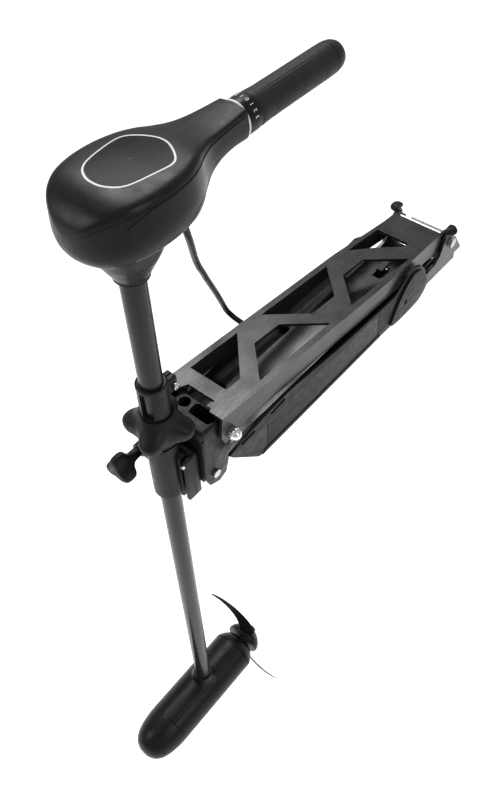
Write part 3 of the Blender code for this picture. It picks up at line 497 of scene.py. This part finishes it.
CABLE_DIAMETER = 0.008
ROUTE_STEPS = 4
CABLE_PATH = ((6, 72, 420), (5, 73, 402), (2, 78, 388), (-4, 86, 372), (-12, 95.5, 354),
              (-20, 105, 335), (-28, 115, 315), (-36, 127, 292), (-43.5, 140, 270),
              (-51, 153, 247), (-58.5, 167, 223), (-65.5, 181, 198), (-72, 195, 172),
              (-76.8, 206, 150), (-78.4, 213.2, 133.8), (-77.3, 217.4, 124.9),
              (-72.3, 221, 117.1), (-64.2, 223.5, 111.8), (-54.5, 224.3, 109.9),
              (-38, 224.3, 109.9))


def hose(route, radius, sides=20):
    """A round tube that follows a line of points."""
    rings = []
    side = X_AXIS
    for i, place in enumerate(route):
        ahead = (route[min(i + 1, len(route) - 1)] - route[max(i - 1, 0)]).normalized()
        side = (side - ahead * side.dot(ahead)).normalized()
        other = ahead.cross(side)
        turns = [2 * math.pi * k / sides for k in range(sides)]
        rings.append([place + (side * math.cos(t) + other * math.sin(t)) * radius for t in turns])
    return loft(rings)


def power_cable():
    """One cable in three lengths, each of which runs between two bodies that one joint joins; none
    of them is put on a body.
    """
    route = [at(*p) for p in smoothed(CABLE_PATH, ROUTE_STEPS)]
    parts = (("shaft", "collar", 0, 6), ("collar", "carrier", 6, 11),
             ("carrier", "arm", 11, len(CABLE_PATH) - 1))
    for number, (upper, lower, first, last) in enumerate(parts, 1):
        own = route[first * ROUTE_STEPS:last * ROUTE_STEPS + 1]
        cable = piece(hose(own, CABLE_DIAMETER / 2), f"power_cable_{number}", "cable", None,
                      smooth=60)
        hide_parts("power_cable")
        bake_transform(cable)


power_cable()

# ---------------------------------------------------------------- the head

# Distance inboard of the shaft, half width, ridge height and underside, in millimetres.
HEAD_STATIONS = smoothed(((-63, 7, 472, 456), (-60.5, 19, 482, 447), (-54, 32, 490, 439),
                          (-44, 43, 496, 433), (-28, 52, 500, 431), (-6, 57.5, 501, 431),
                          (20, 58, 501, 431), (44, 54, 500, 432), (62, 46.5, 499, 434),
                          (78, 37, 497, 440), (94, 30, 495, 450), (112, 26, 493.5, 457),
                          (134, 23, 493, 459), (157.7, 20.5, 493, 456.5)), 6)
PER = 8
# One side of its section, from the middle of the top down: parts of the half width and the height.
HEAD_SECTION = smoothed(((0, 1.07), (0.35, 1.065), (0.68, 1.045), (0.85, 1.015), (0.92, 0.95),
                         (0.96, 0.78), (1.0, 0.54), (0.985, 0.37), (0.9, 0.23), (0.7, 0.11),
                         (0.36, 0.03), (0, 0)), PER)
RIDGE = 4 * PER + 2


def head_side(station, x_part, z_part):
    distance, half, ridge, under = station
    return half * x_part, distance, under + (ridge - under) * z_part


def head_ring(station, first, last, seam=0.0):
    """Part of the head's outline at a station, both sides of the middle.

    Its first three points are lowered, the first one by the whole seam.
    """
    right = []
    for i in range(last + 1 - first):
        x, d, z = head_side(station, *HEAD_SECTION[first + i])
        right.append((x, d, z - seam * max(0, 1 - i / 3)))
    both = right + [(-x, d, z) for x, d, z in reversed(right) if x > 0.01]
    return [at(*p) for p in both]


def station_at(distance):
    for a, b in zip(HEAD_STATIONS, HEAD_STATIONS[1:]):
        if a[0] <= distance <= b[0]:
            t = (distance - a[0]) / (b[0] - a[0])
            return tuple(Vector(a).lerp(Vector(b), t))
    return HEAD_STATIONS[0] if distance < 0 else HEAD_STATIONS[-1]


def crown(x, distance, above=0.0):
    """A point on the head's top, this much proud of it."""
    station = station_at(distance)
    part = abs(x) / station[1]
    for (a, ha), (b, hb) in zip(HEAD_SECTION, HEAD_SECTION[1:]):
        if a <= part <= b:
            height = ha + (hb - ha) * (part - a) / max(b - a, 1e-6)
            return at(x, distance, head_side(station, part, height)[2] + above)
    return at(x, distance, station[2] + above)


def head_shell():
    last = len(HEAD_SECTION) - 1
    lower = loft([head_ring(s, RIDGE, last, 0.5) for s in HEAD_STATIONS])
    piece(lower, "head_lower_shell", "housing", "shaft", "head_lower_housing", smooth=50)
    top = loft([head_ring(s, 0, RIDGE) for s in HEAD_STATIONS])
    piece(top, "head_top_shell", "housing", "shaft", "head_top_cover", smooth=50)
    profile = [(0, 447), (44.5, 446), (42, 439), (39, 430), (36.2, 423), (33, 416), (29.4, 409.4),
               (26, 403), (23, 397.6), (20.5, 393), (19, 389.8), (17.8, 387), (0, 387)]
    piece(lathe(smoothed(profile, 4), at(0, 0, 0)), "head_neck", "housing", "shaft", smooth=50)


# Half of the inset's outline: distance from the middle, and inboard of the shaft.
PANEL = ((8, -23), (21, -16), (28, -4), (33.5, 34), (31, 45), (20, 54), (6, 61))


def head_inset():
    """The dark inset in the head's top and the pale line round it."""
    corners = list(PANEL) + [(-x, d) for x, d in reversed(PANEL)]
    outline = smoothed(rounded(corners, 2, 0.22), 4, True)

    def scaled(scale):
        return [(x * scale, 20 + (d - 20) * scale) for x, d in outline]

    edge = []
    for scale, height in ((1.05, -0.6), (1.045, 0.04), (0.995, 0.04), (0.985, -0.6)):
        edge.append([crown(x, d, height) for x, d in scaled(scale)])
    line = loft(edge, wrap=True)
    piece(line, "inset_line", "light", "shaft", slot="light")
    rings = [[crown(x, d, 0.12) for x, d in scaled(s)] for s in (0.98, 0.8, 0.6, 0.4, 0.2, 0.05)]
    under = [[crown(x, d, -1.0) for x, d in scaled(s)] for s in (0.05, 0.98)]
    piece(loft(rings + under, wrap=True), "inset_panel", "ink", "shaft", "top_panel", slot="light")


def skin(distance, index, side):
    low = int(index)
    a, b = HEAD_SECTION[low], HEAD_SECTION[min(low + 1, len(HEAD_SECTION) - 1)]
    t = index - low
    x, d, z = head_side(station_at(distance), a[0] + (b[0] - a[0]) * t, a[1] + (b[1] - a[1]) * t)
    return at(side * x, d, z)


def side_panels():
    """Gloss insets along both sides of the head, from its ridge to a line that rises inboard."""
    def panel(side, suffix):
        rows, columns = 44, 14
        outer, inner = [], []
        for i in range(rows + 1):
            d = -34 + (153 + 34) * i / rows
            share = i / rows
            top = RIDGE + 1.2 + 4.5 * max(0, 1 - share * 7)
            bottom = RIDGE + 24 - 9 * min(1, share * 2.0)
            bottom = top + (bottom - top) * min(1, 0.25 + share * 9) * min(1, 0.2 + (1 - share) * 9)
            out, back = [], []
            for k in range(columns + 1):
                index = top + (bottom - top) * k / columns
                point = skin(d, index, side)
                along = skin(d + 1, index, side) - skin(d - 1, index, side)
                down = skin(d, index + 0.5, side) - skin(d, index - 0.5, side)
                normal = along.cross(down).normalized()
                if normal.x * side < 0:
                    normal = -normal
                out.append(point + normal * 0.55 * MM)
                back.append(point - normal * 0.8 * MM)
            outer.append(out)
            inner.append(back)
        rings = [a + b[::-1] for a, b in zip(outer, inner)]
        piece(loft(rings), f"side_inset_{suffix}", "gloss", "shaft", f"side_panel_{suffix}",
              slot="gloss", smooth=60)

    each_side(panel)


def handle():
    start = at(0, 157.9, HANDLE_Z)
    ring = [(20.2, 2.6), (20.9, 2.2), (21.0, 1.2), (20.6, 0.2), (10.3, 0.2), (10.3, 2.6)]
    piece(lathe(ring, start, Y_AXIS), "handle_trim_ring", "light", "shaft", slot="light")
    ring = [(18.4, 22), (19.5, 21.6), (19.9, 20.4), (20.0, 14), (20.0, 6), (19.9, 3.4), (19.3, 2.9),
            (10.3, 2.9), (10.3, 22)]
    piece(lathe(ring, start, Y_AXIS), "handle_index_ring", "bushing", "shaft", "index_ring",
          slot="housing")
    marks = []
    for i, number in enumerate("543210123"):
        angle = math.radians(-76 + 19 * i)
        turn = Matrix.Rotation(angle, 4, "Y")
        text = bpy.data.curves.new("number", "FONT")
        text.body = number
        text.size = 6.5 * MM
        text.extrude = 0.15 * MM
        text.align_x = "CENTER"
        text.align_y = "CENTER"
        flat = linked("number", text)
        mesh = bpy.data.meshes.new_from_object(flat)
        bpy.data.objects.remove(flat)
        mesh.transform(Matrix.Translation(at(0, 157.9 + 13.6, HANDLE_Z)) @ turn
                       @ Matrix.Translation((0, 0, 20.1 * MM)) @ Matrix.Rotation(math.pi, 4, "Z"))
        marks.append(linked("number", mesh))
    first, *others = marks
    piece(join_meshes(first, others), "speed_numbers", "light", "shaft", slot="light")
    profile = [(0, 151), (7, 150.6), (11.5, 149), (14.6, 146), (16.6, 141.5), (17.6, 136),
               (18.0, 131.5), (17.5, 131), (17.5, 130), (18.1, 129.5), (18.3, 118), (18.3, 60),
               (18.5, 20), (18.9, 12), (19.2, 6), (19.2, 2.5), (18.7, 0.4), (10.4, 0), (10.4, 124),
               (0, 124)]

    def fluted(angle, height, radius):
        """Shallow flutes along the grip, which fade out towards its ends."""
        if radius < 17 or not 14 < height < 126:
            return 1
        fade = min(1, (height - 14) / 10, (126 - height) / 10)
        return 1 - 0.012 * fade * (0.5 + 0.5 * math.cos(30 * angle)) ** 3

    dense = []
    for (r0, h0), (r1, h1) in zip(profile, profile[1:]):
        steps = max(1, int(abs(h1 - h0) / 4))
        dense += [(r0 + (r1 - r0) * k / steps, h0 + (h1 - h0) * k / steps) for k in range(steps)]
    dense.append(profile[-1])
    grip = lathe(dense, at(0, 180.4, HANDLE_Z), Y_AXIS, 240, fluted)
    piece(grip, "speed_grip", "grip", "grip", "twist_grip", slot="rubber")


def join_meshes(first, others):
    """Puts the meshes of several objects into the first one."""
    shape = bmesh.new()
    shape.from_mesh(first.data)
    for other in others:
        shape.from_mesh(other.data)
        bpy.data.objects.remove(other)
    shape.to_mesh(first.data)
    shape.free()
    return first


def head_fittings():
    profile = [(8.5, 26), (8.5, 23), (6, 22), (6, 4.6), (7.4, 4.2), (7.6, 3), (7.2, 0), (6.7, -0.4),
               (6.7, -1.6), (7, -2), (6.6, -4.6), (6.1, -5), (6.1, -6), (6.4, -6.4), (5.9, -9.4),
               (5.4, -10), (4.7, -10), (4.7, 26)]
    piece(lathe(profile, at(6, 72, 424), steps=48), "cable_boot", "rubber", "shaft", "cable_gland")


head_shell()
head_inset()
side_panels()
handle()
head_fittings()

# ---------------------------------------------------------------- shaft, collar and housing


def shaft():
    outer, inner = SHAFT_RADIUS, SHAFT_RADIUS - 2.6
    profile = [(outer, -651)]
    profile += [(outer, -651 + 1076 * i / 30) for i in range(1, 31)]
    profile += [(inner, 425), (inner, -651)]
    piece(lathe(profile, at(0, 0, 0)), "shaft", "composite", "shaft", "shaft_tube")


def collar():
    bore = SHAFT_RADIUS + 0.3
    profile = [(bore, 229), (17.4, 229), (18.6, 228.2), (19, 226.6), (19, 224), (18.2, 223.2),
               (18.2, 219), (18.6, 214), (19, 170), (19, 122.6), (18.4, 122), (bore, 122)]
    body = lathe(profile, at(0, 0, 0))
    lug = bevel(box((-8, 8), (16, 33), (193, 217)), 3, 4)
    slot = bevel(box((-2, 12), (-30, -4), (181, 222)), 2)
    split = box((-1.2, 1.2), (10, 40), (176, 240))
    core = rod(at(0, 0, 90), at(0, 0, 240), bore)
    cut(join(body, bake(lug)), core, bake(slot), split)
    piece(body, "shaft_collar", "housing", "collar", "depth_collar", edge=0.5)
    head = [(0, 5.2), (2, 5.2), (2.2, 3.2), (2.8, 3.2), (3, 5.2), (4, 5.0), (4.5, 4.2),
            (4.5, 0), (0, 0)]
    piece(lathe(head, at(8.2, 26, 205), X_AXIS, 32), "collar_cap_screw", "steel", "collar",
          "collar_screw")


def clamp_knob():
    """A knob of four broad lobes, hollowed between them and drawn in to a crown."""
    levels = ((131, 21.6, 0), (132.5, 23.6, 0.3), (135, 26.4, 1.4), (138.5, 31.5, 4.2),
              (142, 35, 6.8), (146, 36.6, 7.8), (151, 37, 8.1), (155, 36.6, 7.9), (159, 34.6, 6.6),
              (162, 32.0, 4.7), (165, 29.2, 3.0), (169, 26.4, 1.6), (174, 23.8, 0.6),
              (178, 21.6, 0))
    sizes = smoothed(levels, 3)
    bore = 19.4
    turns = [2 * math.pi * i / 144 for i in range(144)]
    rings = []
    for z, radius, lobe in sizes:
        ring = []
        for angle in turns:
            wave = math.cos(4 * (angle - math.radians(27)))
            wave = math.copysign(abs(wave) ** 0.8, wave)
            r = radius + lobe * wave
            ring.append(at(r * math.cos(angle), r * math.sin(angle), z))
        rings.append(ring)
    for z in (178, 131):
        rings.append([at(bore * math.cos(t), bore * math.sin(t), z) for t in turns])
    knob = loft(rings, wrap=True)
    piece(knob, "shaft_clamp_knob", "rubber", "clamp", "clamp_knob", smooth=45)


KNOB_X, KNOB_Z = -35, 80


def pivot_housing():
    profile = [(17, 118), (19.7, 118), (20.5, 117.2), (20.5, 18.8), (19.7, 18), (17, 18)]
    body = lathe(profile, at(0, 0, 0))
    flange = bevel(box((-34, 34), (16, 27), (10, 96)), 2.5)
    ribs = [bake(bevel(box((x, x + 7), (4, 22), (8, 92)), 2.2)) for x in (-33, 15, 26)]
    lug = rod(at(KNOB_X, -12, KNOB_Z), at(KNOB_X, 12, KNOB_Z), 10)
    web = box((KNOB_X, -16), (-10, 10), (KNOB_Z - 9, KNOB_Z + 9))
    bore = rod(at(0, 0, 0), at(0, 0, 130), 17, segments=96)
    split = box((KNOB_X - 12, -15), (-1, 1), (KNOB_Z - 25, 130))
    hole = rod(at(KNOB_X, -20, KNOB_Z), at(KNOB_X, 10, KNOB_Z), 4.4)
    join(body, bake(flange), *ribs, web, lug)
    cut(body, bore, split, hole)
    piece(body, "swivel_housing", "cast", "carrier", "pivot_housing", slot="painted", edge=0.8)
    profile = [(20.2, 121), (20.6, 120.5), (20.6, 118.8), (20.2, 118.3), (16.7, 118.3),
               (16.7, 80), (14.6, 80), (14.6, 121)]
    piece(lathe(profile, at(0, 0, 0)), "swivel_top_bearing", "bushing", "carrier", "upper_bushing")
    profile = [(16.7, 42), (16.7, 15.5), (16.2, 15), (15.1, 15), (14.6, 15.5), (14.6, 42)]
    piece(lathe(profile, at(0, 0, 0)), "swivel_foot_bearing", "bushing", "carrier", "lower_bushing")


def tension_knob():
    """A moulded knob with three swept wings on a threaded stud."""
    levels = ((-12.6, 6.4, 0), (-14, 7, 0), (-24, 7.4, 0.2), (-30, 10, 1.8), (-34, 14, 5.2),
              (-38, 16, 6.3), (-46, 16.4, 6.5), (-51, 15.6, 6), (-54, 13.6, 4.4), (-55, 11, 2.5))
    rings = []
    for d, radius, lobe in smoothed(levels, 3):
        ring = []
        for i in range(96):
            angle = 2 * math.pi * i / 96
            wave = math.cos(3 * (angle + 0.5))
            r = radius + lobe * math.copysign(abs(wave) ** 0.85, wave)
            ring.append(at(KNOB_X + r * math.cos(angle), d, KNOB_Z + r * math.sin(angle)))
        rings.append(ring)
    knob = loft(rings)
    cut(knob, rod(at(KNOB_X, -5, KNOB_Z), at(KNOB_X, -50.3, KNOB_Z), 4.3))
    piece(knob, "steering_tension_knob", "rubber", "knob", "tension_knob", edge=0.3)
    carry("steel", "tension_stud")


CARRIER_PIVOT = (72, 105)
LINK_FRONT = (45, 38)


def carrier_casting():
    cheek = [(27.3, 118), (27.3, 42), (34, 20), (52, 12), (66, 18), (72, 40), (80, 80)]
    cheek += arc(CARRIER_PIVOT, 14, -10, 110, 12)
    body = side_plate([cheek], (-43, -36))
    other = side_plate([cheek], (36, 43))
    block = bake(bevel(box((-43, 43), (27.3, 70), (76, 133)), 5, 4))
    web = box((-38, 38), (27.3, 32), (30, 90))
    pockets = [bake(bevel(box(x, (45.5, 65), (96, 150)), 6, 5)) for x in ((-38, -25), (2, 39))]
    pockets.append(rod(at(-11, 55.5, 96), at(-11, 55.5, 150), 8.5))
    clearance = rod(at(0, 0, 109), at(0, 0, 150), 36, segments=96)
    holes = [cross_rod(*CARRIER_PIVOT, (-60, 60), 5.3), cross_rod(*LINK_FRONT, (-60, 60), 4.6)]
    join(body, other, block, web)
    cut(body, *pockets, clearance, *holes)
    piece(body, "tilt_casting", "cast", "carrier", "carrier_casting", slot="painted", edge=0.9)


shaft()
collar()
clamp_knob()
pivot_housing()
tension_knob()
carrier_casting()

# ---------------------------------------------------------------- the mount


def acorn_nuts():
    def nut(side, suffix):
        hexagon = [(9.6, 0.2), (9.6, 6.6), (8.6, 7.4)]
        dome = [(8.2, 7.6), (8.0, 9), (7.2, 11), (5.6, 13), (3.2, 14.4), (0, 15)]
        inner = [(0, 9), (5.3, 7), (5.3, 0)]

        def six(angle, height, radius):
            if radius < 8.4 or height > 7.5:
                return 1
            within = (angle + math.pi / 6) % (math.pi / 3) - math.pi / 6
            return 0.9 / max(0.88, math.cos(within)) if height < 7 else 1

        body = lathe([(8.6, 0)] + hexagon + dome + inner, at(side * 50.8, *CARRIER_PIVOT),
                     side * X_AXIS, 72, six)
        piece(body, f"pivot_cap_nut_{suffix}", "chrome", "arm", f"acorn_nut_{suffix}", smooth=30)

    each_side(nut)


COVER_INSIDE = 53


def side_covers():
    outline = [(59, 70), (66, 60), (121, 3), (417, 3), (424, 2), (520, 2), (538, 14), (545, 30),
               (532, 62), (516, 80), (498, 87), (478, 85), (446, 64), (300, 72), (180, 86),
               (108, 80)]
    swelling = [(436, 4), (518, 4), (536, 18), (541, 30), (528, 60), (512, 76), (496, 81),
                (480, 76), (462, 58), (446, 30)]

    def cover(side, suffix):
        skin_plate = side_plate([rounded(outline, 2, 0.06)],
                                span(side, COVER_INSIDE, COVER_INSIDE + 4))
        boss = side_plate([rounded(swelling, 3, 0.2)],
                          span(side, COVER_INSIDE + 1, COVER_INSIDE + 8))
        rail = side_plate([[(124, 4), (416, 4), (412, 12), (132, 12)]],
                          span(side, COVER_INSIDE + 1, COVER_INSIDE + 5.4))
        spacers = [cross_rod(d, 20, span(side, 43.3, COVER_INSIDE + 1), 7, 24)
                   for d in (170, 320, 470)]
        hole = cross_rod(476, 34, span(side, 40, 70), 2.6)
        rim = cross_rod(476, 34, span(side, COVER_INSIDE + 7, 70), 4.6)
        slots = [side_plate([outline_], span(side, COVER_INSIDE + 2.4, 70)) for outline_ in
                 ([(80, 76), (84, 68), (112, 70), (108, 77)],
                  [(140, 79), (146, 72), (176, 75), (172, 82)])]
        grooves = [side_plate([[(d, 16), (d + 1.6, 16), (d + 1.6, 60), (d, 60)]],
                              span(side, COVER_INSIDE + 3.3, 70)) for d in (136, 404)]
        body = join(bake(bevel(skin_plate, 1.6)), bake(bevel(boss, 3.2, 5)),
                    bake(bevel(rail, 1.2)), *spacers)
        cut(body, hole, rim, *slots, *grooves)
        piece(body, f"mount_cover_{suffix}", "cover", "base", f"side_cover_{suffix}", edge=0.3)

    each_side(cover)


def bumpers():
    profile = [(0, 8.1), (5.5, 8), (8, 7.5), (9.4, 6.4), (10, 4.6), (11, 3.8), (11.5, 2.6),
               (11.5, 0.4), (11, 0), (0, 0)]

    def bumper(side, suffix):
        body = lathe(profile, at(side * 50, 613, 81.9), steps=64)
        cut(body, box((-45.2, 45.2), (590, 640), (75, 100)))
        piece(body, f"arm_bumper_{suffix}", "rubber", "base", f"bumper_{suffix}", edge=0.4)

    each_side(bumper)


acorn_nuts()
side_covers()
bumpers()
carry("painted", "arm_channel", "base_channel", "lower_link", "hinge_plate_right",
      "hinge_plate_left", edge=0.7)

# ---------------------------------------------------------------- the motor


def motor():
    start = at(0, -105, MOTOR_Z)
    radius = MOTOR_RADIUS
    profile = [(radius - 3, 0), (radius - 0.8, 0), (radius, 0.8), (radius, 189.2),
               (radius - 0.8, 190), (radius - 3, 190)]
    body = lathe(profile, start, Y_AXIS, 128)
    boss = smoothed(((26, -658), (22.5, -652), (20.2, -647), (18.9, -642), (18.2, -637)), 3)
    boss = lathe([(0, -662)] + boss + [(17.8, -634.8), (16.8, -634), (0, -634)], at(0, 0, 0))
    bore = rod(at(0, 0, -651.3), at(0, 0, -600), SHAFT_RADIUS + 0.3)
    wires = rod(at(0, 0, -670), at(0, 0, -640), 9)
    inside = rod(at(0, -104, MOTOR_Z), at(0, 84, MOTOR_Z), radius - 3.1, segments=96)
    join(body, boss)
    cut(body, inside, bore, wires)
    piece(body, "motor_can", "housing", "shaft", "motor_housing", edge=0.3)
    outer = smoothed(((0, 70), (0.16, 69.6), (0.3, 68.4), (0.55, 63), (0.76, 52), (0.9, 36),
                      (0.975, 17), (1, 2), (0.985, 0.4)), 5)
    inner = [(0.86, 0.3), (0.86, 14), (0.6, 38), (0, 52)]
    nose = lathe([(r * radius, h) for r, h in outer + inner], start, -Y_AXIS, 128)
    piece(nose, "motor_nose", "housing", "shaft", "nose_cone")
    outer = smoothed(((18, 28), (21, 27), (30, 22), (37.5, 13.5), (41.5, 6), (43, 1.4),
                      (42.4, 0.4)), 4)
    inner = [(36, 0.3), (30, 10), (10.3, 14), (10.3, 28)]
    piece(lathe(outer + inner, at(0, 85, MOTOR_Z), Y_AXIS, 128), "motor_tail", "housing", "shaft",
          "tail_cap")


# Radius, width, sweep and pitch angle along a blade, from its root to its tip.
BLADE = smoothed(((22, 24, -6, 44), (34, 29, -4, 34), (56, 30, 2, 26), (80, 27, 12, 20),
                  (100, 22, 24, 17), (114, 16, 37, 15), (120.6, 10, 47, 14.2),
                  (123.55, 4, 51.5, 14)), 5)


def blade_rings(turn):
    """Sections of a swept blade: each one's radius, width, sweep in degrees and pitch angle."""
    around = [2 * math.pi * i / 28 for i in range(28)]
    rings = []
    for radius, chord, sweep, pitch in BLADE:
        thick = 2.3 * (1 - radius / 170)
        slope = math.radians(pitch)
        ring = []
        for t in around:
            across, off = 0.5 * math.cos(t), thick * math.sin(t)
            off += chord * 0.05 * (1 - (2 * across) ** 2)
            angle = math.radians(turn + sweep) + chord * across * math.cos(slope) / radius
            rake = 2 * (radius / 125) ** 2
            along = 125 - rake - chord * across * math.sin(slope) + off
            ring.append(at(radius * math.cos(angle), along, MOTOR_Z + radius * math.sin(angle)))
        rings.append(ring)
    return rings


def propeller():
    outer = smoothed(((13, 28), (17, 26.6), (22, 23.5), (28, 18), (33, 11.6), (35.3, 5),
                      (35.2, 1.2)), 4)
    hub = outer + [(34.2, 0), (6.3, 0), (6.3, 28)]
    body = lathe(hub, at(0, 116, MOTOR_Z), Y_AXIS)
    blades = [loft(blade_rings(turn)) for turn in (81, 261)]
    bore = rod(at(0, 100, MOTOR_Z), at(0, 160, MOTOR_Z), 6.3)
    key = box((-14, 14), (115, 127), (MOTOR_Z - 2.6, MOTOR_Z + 2.6))
    join(body, *blades)
    cut(body, bore, key)
    piece(body, "two_blade_propeller", "housing", "screw", "propeller", smooth=42)
    nut = [(0, 8), (5, 7.4), (9.5, 5), (10.5, 0.4), (6.3, 0.4), (6.3, 4), (0, 4)]
    piece(lathe(nut, at(0, 144, MOTOR_Z), Y_AXIS, 12), "propeller_lock_nut", "housing", "screw",
          "propeller_nut", edge=0.5, smooth=25)


motor()
propeller()
carry("steel", "rear_pivot_bolt", "rear_pivot_nut", "link_pivot_pin", "latch_catch",
      "carrier_pivot_bolt", "arm_cross_rod", "latch_pin", "link_front_bolt",
      "housing_screw", "switch_spindle", "front_bearing", "motor_shaft", "drive_pin", edge=0.25)
carry("rubber", "cable_grommet", "shaft_seal")
carry("cast", "release_latch", edge=0.4)
carry("composite", "handle_core")
carry("bushing", "speed_switch")
carry("board", "terminal_block", "brush_plate")
carry("magnet", "magnet_right", "magnet_left")
carry("copper", "armature")

# ---------------------------------------------------------------- floor and light


def stage_and_light():
    mesh = bpy.data.meshes.new("floor")
    half, height = 9, -0.97
    mesh.from_pydata([(-half, -half, height), (half, -half, height), (half, half, height),
                      (-half, half, height)], [], [(0, 1, 2, 3)])
    floor = linked("floor", mesh)
    paper = Finish("pale_floor", (0.90, 0.90, 0.90), 0.9, Emission_Color=(1, 1, 1, 1),
                   Emission_Strength=0.52)
    mesh.materials.append(paper.material)

    world = bpy.data.worlds.new("studio")
    world.use_nodes = True
    world.node_tree.nodes["Background"].inputs["Color"].default_value = (1, 1, 1, 1)
    world.node_tree.nodes["Background"].inputs["Strength"].default_value = 0.48
    bpy.context.scene.world = world
    bpy.context.scene.view_settings.view_transform = "Standard"

    def softbox(name, place, target, size, power):
        light = bpy.data.lights.new(name, "AREA")
        light.shape = "RECTANGLE"
        light.size, light.size_y = size
        light.energy = power
        lamp = linked(name, light)
        lamp.location = place
        lamp.rotation_mode = "QUATERNION"
        lamp.rotation_quaternion = (Vector(target) - Vector(place)).to_track_quat("-Z", "Y")

    softbox("key", (-1.3, 0.9, 2.4), (0, -0.2, 0.1), (1.6, 1.2), 55)
    softbox("side", (2.0, -0.2, 1.3), (0, -0.2, 0.0), (0.5, 1.6), 14)
    softbox("front", (-1.3, -2.0, 1.4), (0, -0.3, 0.0), (0.7, 1.4), 18)


stage_and_light()
